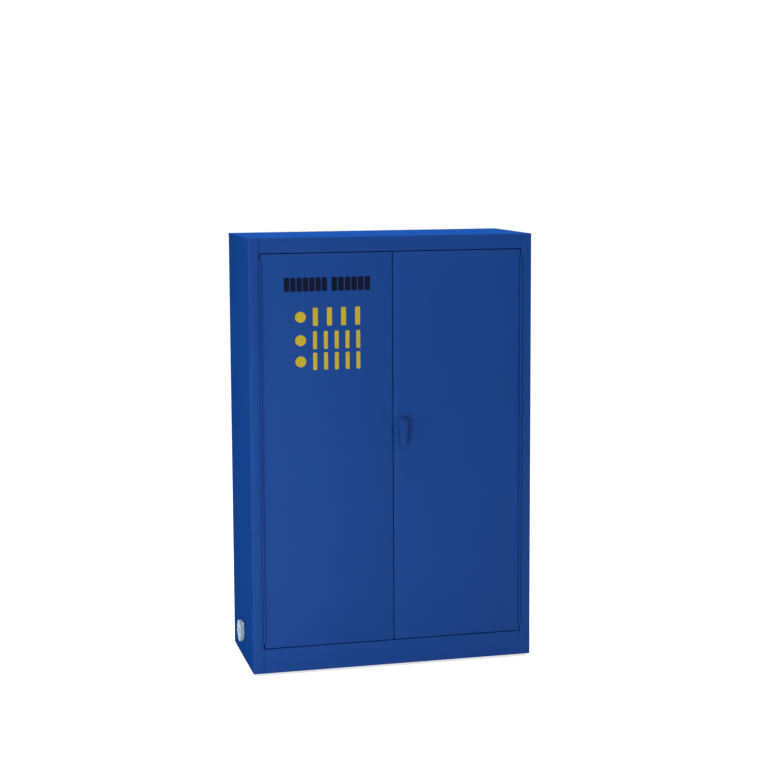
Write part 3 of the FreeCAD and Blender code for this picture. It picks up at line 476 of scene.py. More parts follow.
# Cut vinyl film for the blank label blocks: matt, nearly black and dull yellow.
DARK_FILM = Finish("vinyl_film_black", "blue_enamel", "#070A22", "#0B0F2A", Surface.FILM,
                   12.0, 0.004, 0.6, specular=0.08, grazing=0.2, drift_mm=30.0)
YELLOW_FILM = Finish("vinyl_film_yellow", "blue_enamel", "#C6B32F", "#B59E2C", Surface.FILM,
                     12.0, 0.004, 0.6, specular=0.1, grazing=0.2, drift_mm=30.0)


def dress(nodes: list[str], finish: Finish) -> None:
    """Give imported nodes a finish.

    Args:
        nodes: Names of the nodes.
        finish: The finish.
    """
    for name in nodes:
        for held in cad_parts[name].material_slots:
            held.material = finish.material()
        LOG.info("dressed %s in %s", name, finish.name)


def hand_over(piece: Piece, body: str, finish: Finish, *nodes: str) -> None:
    """Finish a piece: smooth its curves, dress it and let it ride on its body.

    Args:
        piece: The shaped piece.
        body: Body that it moves with.
        finish: Its finish.
        *nodes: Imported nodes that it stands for.
    """
    set_in_mesh(piece)
    bpy.ops.object.shade_smooth_by_angle(angle=SMOOTH)
    piece.data.materials.clear()
    piece.data.materials.append(finish.material())
    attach(piece, body)
    if nodes:
        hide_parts(*nodes)
    LOG.info("built %s on %s", piece.name, body)


@dataclass(frozen=True)
class Lamp:
    """A square soft lamp that looks at a point."""

    name: str
    place: Point
    target: Point
    size: float  # edge of its square
    power: float  # W

    def hang(self) -> None:
        """Put the lamp in its place and aim it."""
        take()
        aim = (Vector(self.place) - Vector(self.target)).to_track_quat("Z", "Y").to_euler()
        bpy.ops.object.light_add(type="AREA", location=self.place, rotation=aim)
        lamp = named(self.name)
        lamp.data.shape = "SQUARE"
        lamp.data.size = self.size
        lamp.data.energy = self.power


def background_rays(tree: bpy.types.NodeTree) -> bpy.types.NodeSocket:
    """Find the rays that show the background: camera, glossy and transmitted ones.

    Args:
        tree: The node tree.

    Returns:
        Output that is one for them and nought for the rest.
    """
    rays = add_node(tree, "LightPath").outputs
    seen = add_node(tree, "Math", {0: rays["Is Camera Ray"], 1: rays["Is Glossy Ray"]},
                    operation="MAXIMUM")
    shown = add_node(tree, "Math",
                     {0: seen.outputs[0], 1: rays["Is Transmission Ray"]}, operation="MAXIMUM")
    return shown.outputs[0]


@dataclass
class Studio:
    """Camera, lamps, world and floor."""

    eye: Point = (-1.569, -6.365, 1.968)
    azimuth: float = -13.35  # degrees
    elevation: float = 6.35
    roll: float = -0.37
    lens: float = 80.54  # mm, on a sensor of 36 mm
    shift: Place = (0.0201, -0.0529)
    floor_size: float = 60.0
    floor_colour: str = "#EDEDED"
    floor_lift: float = 0.7  # what the white background adds to the lit floor
    sky: float = 0.4  # strength of the world on the object
    lamps: tuple[Lamp, ...] = (
        Lamp("top_softbox", (0.0, 0.3, 4.2), (0.0, 0.2, 1.0), 3.2, 138.0),
        Lamp("left_softbox", (-5.2, -2.0, 0.9), (0.0, 0.0, 0.5), 2.6, 66.0),
        Lamp("front_softbox", (-1.9, -2.5, 0.4), (-0.3, 0.0, 0.1), 1.0, 32.0))

    def set_up(self) -> None:
        """Place all of it."""
        bpy.context.scene.view_settings.view_transform = "Standard"
        self.camera()
        self.floor()
        self.world()
        for lamp in self.lamps:
            lamp.hang()

    def camera(self) -> None:
        """Set the camera at its angle."""
        turn = Matrix.Identity(3)
        for angle, axis in ((self.azimuth, "Z"), (90 - self.elevation, "X"), (self.roll, "Z")):
            turn = turn @ Matrix.Rotation(math.radians(angle), 3, axis)
        take()
        bpy.ops.object.camera_add(location=self.eye, rotation=turn.to_euler())
        camera = named("camera")
        camera.data.sensor_width = 36.0
        camera.data.lens = self.lens
        camera.data.shift_x, camera.data.shift_y = self.shift
        camera.data.clip_end = 200.0
        bpy.context.scene.camera = camera

    def floor(self) -> None:
        """Lay a plain pale floor that looks white to the camera away from the shadow."""
        take()
        bpy.ops.mesh.primitive_plane_add(size=self.floor_size, location=(0.0, 0.0, 0.0))
        floor = named("floor")
        material = bpy.data.materials.new("studio_floor")
        material.use_nodes = True
        tree = material.node_tree
        shader = tree.nodes["Principled BSDF"]
        shader.inputs["Base Color"].default_value = linear(self.floor_colour)
        shader.inputs["Roughness"].default_value = 0.9
        shader.inputs["Specular IOR Level"].default_value = 0.1
        lift = add_node(tree, "Math", {0: background_rays(tree), 1: self.floor_lift},
                        operation="MULTIPLY")
        glow = add_node(tree, "Emission", {"Strength": lift.outputs[0]})
        both = add_node(tree, "AddShader", {0: shader.outputs[0], 1: glow.outputs[0]})
        tree.links.new(both.outputs[0], tree.nodes["Material Output"].inputs["Surface"])
        floor.data.materials.append(material)

    def world(self) -> None:
        """Light all round, seen as plain white by the camera and in reflections."""
        world = bpy.data.worlds.new("studio_world")
        bpy.context.scene.world = world
        world.use_nodes = True
        tree = world.node_tree
        strength = add_node(tree, "MapRange",
                            {"Value": background_rays(tree), "To Min": self.sky, "To Max": 1.0})
        background = tree.nodes["Background"]
        background.inputs["Color"].default_value = linear("#FFFFFF")
        tree.links.new(strength.outputs["Result"], background.inputs["Strength"])


class Side(Enum):
    """A side of the cabinet, seen from the doors; its value is the sign of X there."""

    LEFT = -1
    RIGHT = 1

    @property
    def word(self) -> str:
        """The side in lower case."""
        return self.name.lower()

    def ends(self, node: str) -> Place:
        """Inner and outer end along X of a node on this side."""
        low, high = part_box(node)
        return (low.x, high.x) if self is Side.RIGHT else (high.x, low.x)


@dataclass
class Shell:
    """Outer sheets, liner, sump and what is fixed to them."""

    bend: float = 2.4 * MM  # outer radius of a folded edge
    lap: float = 15.0 * MM  # flange of a side panel behind the back panel
    hole: float = 30.3 * MM  # radius of the hole for a vent
    hole_reach: float = 5.0 * MM  # half of the length of its tool
    weld_pitch: float = 98.0 * MM
    weld_share: float = 0.55  # of the flange, from its bend to the spot welds

    def build(self) -> None:
        """Shape the side panels and dress the other sheets."""
        for side in Side:
            self.side_panel(side)
        dress(["back_panel", "top_panel", "base_panel", "header_rail", "sill_rail"], BLUE_COAT)
        # liner and sump take the lighter copy of the coat, painted light for the shaded inside
        dress(["liner_left", "liner_right", "liner_back", "liner_top", "sump_pan"],
              BLUE_COAT_LIGHTENED_INSIDE)
        dress(["sump_supports", "wall_spacers", "lower_shelf_clips", "upper_shelf_clips",
               "rod_strikes"], ZINC)

    def side_panel(self, side: Side) -> None:
        """Side sheet with the jamb, the stile and the spot-welded flange behind.

        Args:
            side: Its side of the cabinet.
        """
        way, node = side.value, f"{side.word}_side_panel"
        low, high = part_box(node)
        jamb, outer = side.ends(node)
        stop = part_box(f"liner_{side.word}")[0].y
        path = [(jamb, stop), (jamb, FRONT), (outer, FRONT), (outer, BACK),
                (outer - way * self.lap, BACK)]
        panel = folded(f"{side.word}_side_sheet", path, Run.UP, (low.z, high.z), SHEET, way,
                       self.bend)
        _, y, z = middle_of(f"{side.word}_vent_cap")
        reach = self.hole_reach
        combine(panel, drum("hole", (outer - reach, y, z), (outer + reach, y, z), self.hole, 96))
        count = int((high.z - low.z) / self.weld_pitch)
        middle, half = (high.z + low.z) / 2, (count - 1) * self.weld_pitch / 2
        weld_marks(panel, [(outer - way * self.lap * self.weld_share, BACK, level)
                           for level in evenly(middle - half, middle + half, count)])
        hand_over(panel, "cabinet", BLUE_COAT, node)


@dataclass(frozen=True)
class Thread:
    """Turns of a thread, each a ring on its stud, in mm."""

    crest: float  # outer radius
    first: float  # from the start of the stud to the first turn
    pitch: float
    turns: int
    width: float  # of one turn
    soft: float  # rounding of its edges
    sides: int

    def rings(self, start: Point, axis: Point) -> list[Piece]:
        """Shape the turns.

        Args:
            start: Start of the stud.
            axis: Unit vector along it.

        Returns:
            The rings.
        """
        places = [Vector(start) + Vector(axis) * (self.first + step * self.pitch) * MM
                  for step in range(self.turns)]
        return [drum("thread", place, place + Vector(axis) * self.width * MM, self.crest * MM,
                     self.sides, self.soft * MM, 1) for place in places]


@dataclass
class GroundStud:
    """Threaded stud for a ground wire, with its washer and nut."""

    core: float = 3.6 * MM  # radius under the thread
    core_soft: float = 0.6 * MM  # rounding of its edges, as in every field named soft
    thread: Thread = Thread(crest=4.0, first=8.2, pitch=1.25, turns=7, width=0.7, soft=0.3,
                            sides=40)
    washer: float = 1.6 * MM  # its gauge
    washer_soft: float = 0.4 * MM
    nut: float = 6.0 * MM  # its height
    nut_radius: float = 7.5 * MM  # to its corners
    nut_soft: float = 0.7 * MM

    def build(self) -> None:
        """Shape the stud, its thread, the washer and the nut as one piece."""
        low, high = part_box("ground_stud")
        _, y, z = (low + high) / 2
        foot, seat = (low.x, y, z), (low.x + self.washer, y, z)
        parts = [
            drum("stud", foot, (high.x, y, z), self.core, 40, self.core_soft),
            drum("washer", foot, seat, (high.z - low.z) / 2, 48, self.washer_soft, 2),
            drum("nut", seat, (seat[0] + self.nut, y, z), self.nut_radius, 6, self.nut_soft),
            *self.thread.rings(foot, (1.0, 0.0, 0.0))]
        hand_over(merge("ground_stud_and_nut", parts), "cabinet", ZINC, "ground_stud")


@dataclass
class Door:
    """One double-walled door: outer skin and inner sheet."""

    side: Side
    spindle: Vector  # middle of the key cylinder
    bend: float = 2.0 * MM  # radius of the folded edges
    slot_reach: float = 4.0 * MM  # of the tongue's slot, to each side of the edge
    slot_depths: Place = (13.0 * MM, 18.0 * MM)  # behind the door face
    slot_levels: Place = (-7.0 * MM, 46.0 * MM)  # from the spindle
    drill_reach: float = 3.0 * MM  # of each drill, to both sides of the sheet
    drills: tuple[tuple[float, float, int], ...] = (  # drop below the spindle, radius, sides
        (0.0, 9.0 * MM, 48), (36.0 * MM, 2.6 * MM, 24), (76.0 * MM, 2.6 * MM, 24))
    rod_hole: float = 6.8 * MM
    rod_offset: float = 11.0 * MM  # rods beside the spindle
    rod_depth: float = 20.0 * MM  # rods behind the door face
    weld_pitch: float = 96.0 * MM
    weld_inset: float = 9.0 * MM  # from the edge of the inner sheet to the spot welds
    sheet_soft: float = 0.4 * MM  # rounding of the inner sheet

    def build(self) -> None:
        """Shape both sheets and dress the stiffener between them."""
        self.skin()
        self.inner_sheet()
        dress([f"{self.side.word}_door_stiffener"], BLUE_COAT_LIGHTENED_INSIDE)

    def skin(self) -> None:
        """Folded outer skin: a pan with round edges, open behind, cut for the latch."""
        word = self.side.word
        node = f"{word}_door_skin"
        low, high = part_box(node)
        pan = block(f"{word}_door_pan", low, high)
        with in_edit_mode(pan):
            pick(pan, Element.FACE, lambda face: face.normal.y > FACING)
            bpy.ops.mesh.delete(type="FACE")
            pick(pan, Element.EDGE, lambda edge: not edge.is_boundary
                 and any(abs(vert.co.y - low.y) < CLOSE for vert in edge.verts))
            soften(self.bend)
        use_modifier(pan, "SOLIDIFY", thickness=SHEET, offset=-1.0)
        (near, far), (under, over) = self.slot_depths, self.slot_levels
        edge, z = self.side.ends(node)[0], self.spindle.z
        combine(pan, block("slot", (edge - self.slot_reach, FRONT + near, z + under),
                           (edge + self.slot_reach, FRONT + far, z + over)))
        if self.side is Side.RIGHT:
            combine(pan, self.latch_drills(low, high))
        hand_over(pan, f"{word}_door", BLUE_COAT, node)

    def latch_drills(self, low: Vector, high: Vector) -> Piece:
        """Tools for the holes of the spindle, its screws and the two rods.

        Args:
            low: Low corner of the skin.
            high: High corner of the skin.

        Returns:
            All the tools as one.
        """
        x, z, reach = self.spindle.x, self.spindle.z, self.drill_reach
        tools = [drum("drill", (x, FRONT - reach, z - drop), (x, FRONT + reach, z - drop), radius,
                      sides) for drop, radius, sides in self.drills]
        for way, level in ((1, high.z), (-1, low.z)):
            place, depth = x + way * self.rod_offset, FRONT + self.rod_depth
            tools.append(drum("rod_drill", (place, depth, level - reach),
                              (place, depth, level + reach), self.rod_hole, 40))
        return merge("latch_drills", tools)

    def inner_sheet(self) -> None:
        """Inner sheet with soft edges and a line of spot welds all round."""
        word = self.side.word
        node = f"{word}_door_back"
        low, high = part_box(node)
        plate = block(f"{word}_door_inner_sheet", low, high)
        round_edges(plate, self.sheet_soft, 2)
        inset = Vector((self.weld_inset, 0.0, self.weld_inset))
        first, last = low + inset, high - inset
        across, along = (max(2, round(length / self.weld_pitch) + 1)
                         for length in (last.x - first.x, last.z - first.z))
        places = []
        for x in evenly(first.x, last.x, across):
            places += [(x, high.y, first.z), (x, high.y, last.z)]
        for z in evenly(first.z, last.z, along)[1:-1]:
            places += [(first.x, high.y, z), (last.x, high.y, z)]
        weld_marks(plate, places)
        hand_over(plate, f"{word}_door", BLUE_COAT_LIGHTENED_INSIDE, node)


@dataclass
class BlankLabels:
    """Blank film blocks on the left door: a dark pair over three yellow rows."""

    film: float = 0.25 * MM
    corner: float = 4.0 * MM
    dark_levels: Place = (1.451, 1.503)
    dark_rows: tuple[tuple[float, float, int], ...] = (  # left end, right end, blocks
        (-0.414, -0.251, 7), (-0.234, -0.087, 6))
    dark_fill: float = 0.88  # share of a row that its blocks cover
    yellow_rows: tuple[tuple[float, float, int], ...] = (  # lower edge, upper edge, blocks
        (1.322, 1.390, 4), (1.235, 1.302, 5), (1.157, 1.222, 5))
    yellow_ends: Place = (-0.306, -0.126)
    yellow_fill: float = 0.42
    disc_place: float = -0.353
    disc_radius: float = 20.5 * MM

    def patch(self, ends: Place, levels: Place) -> Piece:
        """One thin film block with round corners on the face of the door.

        Args:
            ends: Its left and right edge.
            levels: Its lower and upper edge.

        Returns:
            The block.
        """
        piece = block("patch", (ends[0], FRONT - self.film, levels[0]),
                      (ends[1], FRONT, levels[1]))
        with in_edit_mode(piece):
            pick(piece, Element.EDGE,
                 lambda edge: abs(edge.verts[0].co.y - edge.verts[1].co.y) > self.film / 2)
            soften(self.corner)
        return piece

    def row(self, ends: Place, levels: Place, count: int, fill: float) -> list[Piece]:
        """A row of equal upright blocks that cover a share of its length."""
        width = (ends[1] - ends[0]) * fill / count
        return [self.patch((left, left + width), levels)
                for left in evenly(ends[0], ends[1] - width, count)]

    def build(self) -> None:
        """Cut and lay the blocks."""
        dark = []
        for left, right, count in self.dark_rows:
            dark += self.row((left, right), self.dark_levels, count, self.dark_fill)
        hand_over(merge("blank_dark_label", dark), "left_door", DARK_FILM)
        yellow = []
        for low, high, count in self.yellow_rows:
            x, z = self.disc_place, (low + high) / 2
            yellow.append(drum("disc", (x, FRONT - self.film, z), (x, FRONT, z),
                               self.disc_radius, 48))
            yellow += self.row(self.yellow_ends, (low, high), count, self.yellow_fill)
        hand_over(merge("blank_yellow_label", yellow), "left_door", YELLOW_FILM)


@dataclass(frozen=True)
class Teardrop:
    """Plate whose outline wraps an upper and a lower disc, in mm."""

    top: float  # radius of the upper disc
    end: float  # radius of the lower disc
    drop: float  # distance between the discs
    near: float  # front plane, behind the door face
    far: float  # back plane


@dataclass
class HandleSet:
    """Base plate, lever, key cylinder and the latch behind them, in mm."""

    spindle: Vector  # middle of the key cylinder
    base: Teardrop = Teardrop(21.5, 21.5, 71.0, -4.0, 0.0)
    base_soft: float = 1.2
    lever: Teardrop = Teardrop(19.0, 9.0, 82.0, -29.0, -18.0)
    lever_soft: float = 2.4
    panel: Teardrop = Teardrop(14.6, 4.6, 82.0, -31.0, -28.2)  # sunk into the lever
    hub: Point = (16.7, -32.0, -4.3)  # radius, front and back plane, as the next two
    bore: Point = (11.0, -40.0, -12.0)
    lock: Point = (10.95, -34.0, -12.3)
    hub_soft: float = 1.0
    lock_soft: float = 0.8
    keyway: tuple[Point, Point] = ((-0.9, -36.0, -4.5), (0.9, -28.0, 4.5))  # two corners

    def at(self, x: float, y: float, z: float) -> Point:
        """A point given in mm from the spindle in the plane of the door face."""
        return self.spindle.x + x * MM, FRONT + y * MM, self.spindle.z + z * MM

    def turned(self, name: str, form: Point, sides: int, soft: float = 0.0,
               drop: float = 0.0) -> Piece:
        """Cylinder of a radius between two planes, on the spindle's axis or below it."""
        start, end = (self.at(0, plane, -drop) for plane in form[1:])
        return drum(name, start, end, form[0] * MM, sides, soft * MM)

    def wrapped(self, name: str, form: Teardrop) -> Piece:
        """Shape a teardrop plate.

        Args:
            name: Name of the piece.
            form: Its form.

        Returns:
            The plate.
        """
        upper = self.turned(name, (form.top, form.near, form.far), 96)
        lower = self.turned("lower", (form.end, form.near, form.far), 96, drop=form.drop)
        plate = merge(name, [upper, lower])
        with in_edit_mode(plate):
            bpy.ops.mesh.select_all(action="SELECT")
            bpy.ops.mesh.convex_hull()
            bpy.ops.mesh.select_all(action="SELECT")
            bpy.ops.mesh.dissolve_limited(angle_limit=math.radians(1))
        return plate

    def build(self) -> None:
        """Shape the set and dress the latch."""
        base = self.wrapped("handle_base_plate", self.base)
        round_edges(base, self.base_soft * MM)
        hand_over(base, "right_door", BLUE_COAT, "handle_base")
        blade = self.wrapped("handle_lever", self.lever)
        round_edges(blade, self.lever_soft * MM, 5)
        combine(blade, self.wrapped("panel", self.panel))
        combine(blade, self.turned("hub", self.hub, 90, self.hub_soft), joined=True)
        combine(blade, self.turned("bore", self.bore, 64))
        hand_over(blade, "handle", BLUE_COAT, "lever_handle")
        lock = self.turned("key_cylinder", self.lock, 64, self.lock_soft)
        combine(lock, block("keyway", *(self.at(*corner) for corner in self.keyway)))
        hand_over(lock, "lock", CHROME, "lock_cylinder")
        dress(["handle_screws", "latch_cam", "top_rod", "bottom_rod", "rod_guides", "latch_plate",
               "tongue_strike"], ZINC)


@dataclass
class Hinge:
    """Continuous hinge of one door: two strips with knuckles that take turns along one pin."""

    side: Side
    axis_x: float = 503.5 * MM
    axis_lead: float = 3.5 * MM  # axis in front of the door faces
    barrel: float = 3.15 * MM  # outer radius of a knuckle
    strip: float = 1.5 * MM  # gauge of a leaf
    gap: float = 0.5 * MM  # from the axis to a leaf, and from a barrel to it
    neck_share: float = 0.6  # of the barrel, where a knuckle's neck begins
    neck_lap: float = 0.1 * MM  # how far a neck runs into its strip
    knuckle: float = 24.0 * MM  # length of one knuckle
    knuckle_soft: float = 0.35 * MM
    play: float = 0.6 * MM  # space between two knuckles
    rivet: float = 3.2 * MM  # radius of a rivet head
    rivet_pitch: float = 145.0 * MM
    rivet_rise: float = 0.4 * MM  # height of a rivet head in the gap
    rivet_soft: float = 0.2 * MM

    def leaf(self, part: str, body: str, way: int, delay: float) -> None:
        """Shape one leaf: its strip, every other knuckle and its rivets.

        Args:
            part: "frame" or "door", as in the name of its node.
            body: Body that it moves with.
            way: 1 if the strip lies on the outer side of the axis, -1 on the inner side.
            delay: Height of its first knuckle above the foot of the hinge.
        """
        word = self.side.word
        node = f"{word}_hinge_{part}_leaf"
        foot, head = (corner.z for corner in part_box(f"{word}_hinge_frame_leaf"))
        x, y = self.side.value * self.axis_x, FRONT - self.axis_lead
        outward = way * self.side.value
        near, far = sorted((x + outward * self.gap, x + outward * (self.gap + self.strip)))
        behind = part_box(node)[1].y
        first = foot + delay
        last = first + self.knuckle - self.play
        strip = block(node, (near, y + self.barrel + self.gap, foot), (far, behind, head))
        knuckle = drum("knuckle", (x, y, first), (x, y, last), self.barrel, 24,
                       self.knuckle_soft, 2)
        neck = block("neck", (near, y + self.barrel * self.neck_share, first),
                     (far, y + self.barrel + self.gap + self.neck_lap, last))
        turn = merge("turn", [knuckle, neck])
        stack(turn, int((head - first) / (2 * self.knuckle) + 0.5), 2 * self.knuckle)
        middle = (y + self.barrel + behind) / 2
        inner = near if outward > 0 else far
        count = max(2, round((head - foot) / self.rivet_pitch))
        half = (head - foot) / count / 2
        heads = [drum("rivet", (inner, middle, level),
                      (inner - outward * self.rivet_rise, middle, level), self.rivet, 24,
                      self.rivet_soft, 2) for level in evenly(foot + half, head - half, count)]
        leaf = merge(f"{word}_hinge_{part}_strip", [strip, turn, *heads])
        hand_over(leaf, body, BLUE_COAT, node)

    def build(self) -> None:
        """Shape both leaves and dress the pin."""
        self.leaf("frame", "cabinet", 1, 0.0)
        self.leaf("door", f"{self.side.word}_door", -1, self.knuckle)
        dress([f"{self.side.word}_hinge_pin"], BLUE_COAT)


@dataclass
class Vent:
    """Cap of the vent in one side."""

    side: Side
    ribs: int = 36
    rib_depth: float = 1.0 * MM
    rib_rise: float = 0.9  # share of that depth that a rib fills
    hollow: float = 30.1 * MM  # radius of the hollow that takes the collar
    hollow_depth: float = 8.7 * MM
    rim: float = 5.0 * MM  # width of the flat rim of the face
    step: Place = (1.0 * MM, -1.2 * MM)  # width and depth of the step inside it
    bar_height: float = 3.0 * MM
    bar_width: float = 9.0 * MM
    bar_foot: float = 2.0 * MM  # how deep the bar starts under the face
    bar_share: float = 0.7  # of the radius, that the bar reaches
    bar_soft: float = 1.3 * MM

    def build(self) -> None:
        """Shape the cap: a ribbed rim, a raised ring and a grip bar over a hollow."""
        word, way = self.side.word, self.side.value
        node = f"{word}_vent_cap"
        low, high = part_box(node)
        middle, radius = (low + high) / 2, (high.z - low.z) / 2
        _, y, z = middle
        inner, outer = self.side.ends(node)
        face = outer - way * self.bar_height
        cap = drum(f"{word}_vent_screw_cap", (inner, y, z), (face, y, z), radius - self.rib_depth,
                   4 * self.ribs)
        combine(cap, drum("hollow", (inner - way * BEYOND, y, z),
                          (inner + way * self.hollow_depth, y, z), self.hollow, 96))
        with in_edit_mode(cap):
            pick(cap, Element.FACE, lambda side: side.normal.x * way > FACING
                 and side.calc_center_median().x * way > face * way - CLOSE)
            bpy.ops.mesh.inset(thickness=self.rim)
            bpy.ops.mesh.inset(thickness=self.step[0], depth=self.step[1])
        foot, half, reach = face - way * self.bar_foot, self.bar_width / 2, radius * self.bar_share
        bar = block("bar", (min(foot, outer), y - reach, z - half),
                    (max(foot, outer), y + reach, z + half))
        round_edges(bar, self.bar_soft, 4)
        combine(cap, bar, joined=True)

        def on_rib(side: bmesh.types.BMFace) -> bool:
            """Say whether a face belongs to a rib: two faces of every four of the rim.

            Args:
                side: The face.

            Returns:
                Whether it does.
            """
            _, across, up = side.calc_center_median() - middle
            turn = math.atan2(up, across) % math.tau / math.tau
            on_rim = abs(side.normal.x) < 1 - FACING and math.hypot(across, up) > self.hollow
            return on_rim and int(turn * 4 * self.ribs) % 4 < 2

        with in_edit_mode(cap):
            pick(cap, Element.FACE, on_rib)
            bpy.ops.mesh.extrude_region_shrink_fatten(TRANSFORM_OT_shrink_fatten={
                "value": self.rib_depth * self.rib_rise, "use_even_offset": False})
        hand_over(cap, f"{word}_cap", CAP_PLASTIC, node)


@dataclass
class VentPassage:
    """What a vent has in the wall: collar, clamping nut and gauze flame arrester."""

    side: Side
    bore: float = 22.0 * MM  # radius, as the next two
    tube: float = 30.0 * MM
    flange: float = 37.0 * MM
    flange_gauge: float = 4.0 * MM
    nut_gauge: float = 8.0 * MM
    tube_end: float = 9.0 * MM  # of the tube, inside the outer face of the nut
    nut_play: float = 0.05 * MM
    nut_soft: float = 1.4 * MM
    collar_soft: float = 0.7 * MM
    rim: float = 2.4 * MM  # width of the rim of the gauze
    rim_half: float = 1.0 * MM  # half of its gauge
    rim_soft: float = 0.4 * MM
    wire: float = 0.45 * MM  # radius of a wire
    wire_shift: float = 0.4 * MM  # of the crossing wires from the middle of the gauze
    mesh: float = 3.2 * MM  # pitch of the wires

    def turned(self, name: str, inner: float, outer: float, radius: float,
               sides: int = 96) -> Piece:
        """Cylinder on the axis of the vent."""
        _, y, z = middle_of(f"{self.side.word}_vent_cap")
        return drum(name, (inner, y, z), (outer, y, z), radius, sides)

    def collar(self) -> Piece:
        """Tube with a flange outside.

        Returns:
            The collar.
        """
        way, outer = self.side.value, self.side.ends("vent_bodies")[1]
        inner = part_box("vent_locknuts")[1].x * way - way * self.tube_end
        wall = self.side.ends(f"{self.side.word}_side_panel")[1]
        tube = self.turned("tube", inner, outer, self.tube)
        flange = self.turned("flange", wall, wall + way * self.flange_gauge, self.flange)
        combine(tube, flange, joined=True)
        combine(tube, self.turned("bore", inner - way * BEYOND, outer + way * BEYOND, self.bore))
        round_edges(tube, self.collar_soft, 2)
        return tube

    def nut(self) -> Piece:
        """Hexagonal nut that clamps the collar from inside.

        Returns:
            The nut.
        """
        way, (low, high) = self.side.value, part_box("vent_locknuts")
        outer = self.side.ends("vent_locknuts")[1]
        inner = outer - way * self.nut_gauge
        corner = (high.y - low.y) / 2 / math.cos(math.radians(30))
        nut = self.turned("nut", inner, outer, corner, sides=6)
        round_edges(nut, self.nut_soft)
        combine(nut, self.turned("bore", inner - way * BEYOND, outer + way * BEYOND,
                                 self.tube + self.nut_play))
        return nut

    def arrester(self) -> list[Piece]:
        """Rim and crossed wires of a gauze.

        Returns:
            The rim and the wires.
        """
        half = self.rim_half
        x = self.side.ends("flame_arresters")[1] - self.side.value * half
        _, y, z = middle_of(f"{self.side.word}_vent_cap")
        rim = self.turned("rim", x - half, x + half, self.bore)
        combine(rim, self.turned("window", x - 2 * half, x + 2 * half, self.bore - self.rim))
        round_edges(rim, self.rim_soft, 2)
        parts = [rim]
        radius = self.bore - self.rim / 2
        count = int(radius / self.mesh)
        near, far = x - self.wire_shift, x + self.wire_shift
        for step in range(-count, count + 1):
            off = step * self.mesh
            reach = math.sqrt(radius ** 2 - off ** 2)
            for start, end in (((near, y + off, z - reach), (near, y + off, z + reach)),
                               ((far, y - reach, z + off), (far, y + reach, z + off))):
                parts.append(drum("wire", start, end, self.wire, 8))
        return parts


def build_passages() -> None:
    """Shape the collars, the nuts and the arresters, which hold both sides in one piece."""
    both = [VentPassage(side) for side in Side]
    collars, nuts = [one.collar() for one in both], [one.nut() for one in both]
    gauzes = [part for one in both for part in one.arrester()]
    hand_over(merge("vent_collars", collars), "cabinet", ZINC, "vent_bodies")
    hand_over(merge("vent_clamping_nuts", nuts), "cabinet", ZINC, "vent_locknuts")
    hand_over(merge("gauze_arresters", gauzes), "cabinet", BRASS, "flame_arresters")


@dataclass
class ShelfStandards:
    """The two slotted standards of one side."""

    side: Side
    gauge: float = 1.5 * MM
    width: float = 20.0 * MM
    bend: float = 2.4 * MM
    slot_width: float = 4.0 * MM
    slot_length: float = 12.0 * MM
    slot_round: float = 0.45  # share of the slot's width in its round corners
    slot_pitch: float = 80.0 * MM
    slot_reach: float = 4.0 * MM  # of the tool, to both sides of the face

    def build(self) -> None:
        """Shape both standards with their slots."""
        node = f"{self.side.word}_uprights"
        low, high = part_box(node)
        face, wall = self.side.ends(node)
        reach, half = self.slot_reach, self.slot_width / 2
        standards = []
        for start in (low.y, high.y - self.width):
            end = start + self.width
            standard = folded("standard", [(wall, start), (face, start), (face, end), (wall, end)],
                              Run.UP, (low.z, high.z), self.gauge, -self.side.value, self.bend)
            y, first = start + self.width / 2, low.z + self.slot_length
            slot = block("slot", (face - reach, y - half, first - self.slot_length / 2),
                         (face + reach, y + half, first + self.slot_length / 2))
            with in_edit_mode(slot):
                pick(slot, Element.EDGE,
                     lambda edge: abs(edge.verts[0].co.x - edge.verts[1].co.x) > reach)
                soften(self.slot_width * self.slot_round)
            stack(slot, int((high.z - first) / self.slot_pitch), self.slot_pitch)
            combine(standard, slot)
            standards.append(standard)
        hand_over(merge(f"{self.side.word}_shelf_standards", standards), "cabinet", ZINC, node)


@dataclass
class Shelf:
    """Folded shelf with front and back skirts."""

    node: str
    body: str
    gauge: float = 1.5 * MM
    lip: float = 12.0 * MM
    bend: float = 3.0 * MM

    def build(self) -> None:
        """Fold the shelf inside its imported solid."""
        low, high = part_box(self.node)
        path = [(low.y + self.lip, low.z), (low.y, low.z), (low.y, high.z), (high.y, high.z),
                (high.y, low.z), (high.y - self.lip, low.z)]
        shelf = folded(f"{self.node}_sheet", path, Run.ACROSS, (low.x, high.x), self.gauge, -1,
                       self.bend)
        hand_over(shelf, self.body, GALVANISED, self.node)


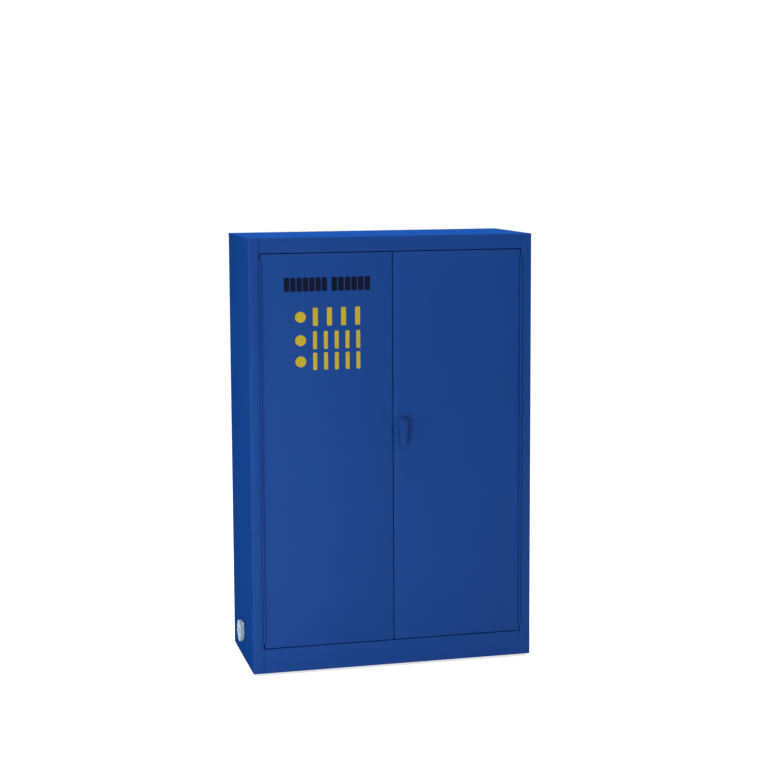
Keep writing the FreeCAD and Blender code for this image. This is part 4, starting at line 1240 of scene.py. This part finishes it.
@dataclass
class Tray:
    """Moulded spill tray: drafted walls, round corners and a rim that turns down."""

    node: str
    body: str
    corner: float = 24.0 * MM
    wall: float = 2.6 * MM
    rim: float = 6.0 * MM
    turn_down: float = 2.6 * MM
    floor_round: float = 5.0 * MM
    edge_soft: float = 0.7 * MM
    draft: float = 4.0  # degrees

    def build(self) -> None:
        """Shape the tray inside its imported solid."""
        low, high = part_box(self.node)
        middle = (low + high) / 2
        height = high.z - self.wall - low.z
        run = height * math.tan(math.radians(self.draft))
        inset = self.rim + run
        tray = block(f"{self.node}_moulding", (low.x + inset, low.y + inset, low.z),
                     (high.x - inset, high.y - inset, low.z + height))
        half_x, half_y = (high.x - low.x) / 2 - self.rim, (high.y - low.y) / 2 - self.rim
        ledge = self.rim - self.wall
        with in_edit_mode(tray):
            pick(tray, Element.FACE, lambda face: face.normal.z > FACING)
            bpy.ops.transform.resize(value=(half_x / (half_x - run), half_y / (half_y - run), 1.0),
                                     center_override=middle)
            pick(tray, Element.EDGE,
                 lambda edge: abs(edge.verts[0].co.z - edge.verts[1].co.z) > height / 2)
            soften(self.corner, 10)
            pick(tray, Element.FACE, lambda face: face.normal.z > FACING)
            bpy.ops.mesh.delete(type="FACE")
            pick(tray, Element.EDGE, lambda edge: not edge.is_boundary
                 and all(abs(vert.co.z - low.z) < CLOSE for vert in edge.verts)
                 and any(face.normal.z < -FACING for face in edge.link_faces))
            soften(self.floor_round)
            pick(tray, Element.EDGE, lambda edge: edge.is_boundary)
            extrude(Vector())
            bpy.ops.transform.resize(value=(1 + ledge / half_x, 1 + ledge / half_y, 1.0),
                                     center_override=middle)
            pick(tray, Element.EDGE, lambda edge: edge.is_boundary)
            extrude(Vector((0.0, 0.0, -self.turn_down)))
        use_modifier(tray, "SOLIDIFY", thickness=self.wall, offset=-1.0)
        round_edges(tray, self.edge_soft, 2)
        hand_over(tray, self.body, POLYETHYLENE, self.node)


@dataclass
class Foot:
    """Levelling foot: hexagonal moulded pad on a plated screw stud."""

    count: int
    sole: float = 14.0 * MM  # radius of the sole, which stands on the floor
    sole_top: float = 1.6 * MM
    sole_soft: float = 0.4 * MM
    pad_levels: Place = (1.5 * MM, 6.0 * MM)
    pad_soft: float = 0.8 * MM
    core: float = 4.6 * MM  # radius of the stud under its thread
    core_foot: float = 5.0 * MM
    core_soft: float = 0.6 * MM
    thread: Thread = Thread(crest=4.95, first=1.6, pitch=1.5, turns=12, width=0.9, soft=0.35,
                            sides=32)

    def build(self) -> None:
        """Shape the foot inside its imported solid."""
        node, body = f"leveling_foot_{self.count}", f"foot_{self.count}"
        low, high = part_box(node)
        x, y, _ = (low + high) / 2
        under, over = self.pad_levels
        pad = [drum("pad", (x, y, under), (x, y, over), (high.y - low.y) / 2, 6, self.pad_soft),
               drum("sole", (x, y, 0.0), (x, y, self.sole_top), self.sole, 48, self.sole_soft, 2)]
        start = (x, y, self.core_foot)
        stud = [drum("stud", start, (x, y, high.z), self.core, 32, self.core_soft),
                *self.thread.rings(start, (0.0, 0.0, 1.0))]
        hand_over(merge(f"levelling_pad_{self.count}", pad), body, RUBBER, node)
        hand_over(merge(f"levelling_stud_{self.count}", stud), body, ZINC)


def main() -> None:
    """Build the scene in order."""
    logging.basicConfig(level=logging.INFO, format="%(name)s: %(message)s")
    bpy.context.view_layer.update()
    Studio().set_up()
    Shell().build()
    GroundStud().build()
    spindle = middle_of("lock_cylinder")
    for side in Side:
        Door(side, spindle).build()
        Hinge(side).build()
        Vent(side).build()
        ShelfStandards(side).build()
    build_passages()
    BlankLabels().build()
    HandleSet(spindle).build()
    for node, body in (("lower_shelf", "low_shelf"), ("upper_shelf", "high_shelf")):
        Shelf(node, body).build()
    for node, body in (("sump_tray", "floor_tray"), ("lower_tray", "low_tray"),
                       ("upper_tray", "high_tray")):
        Tray(node, body).build()
    for count in range(1, 5):
        Foot(count).build()


if __name__ == "__main__":
    main()
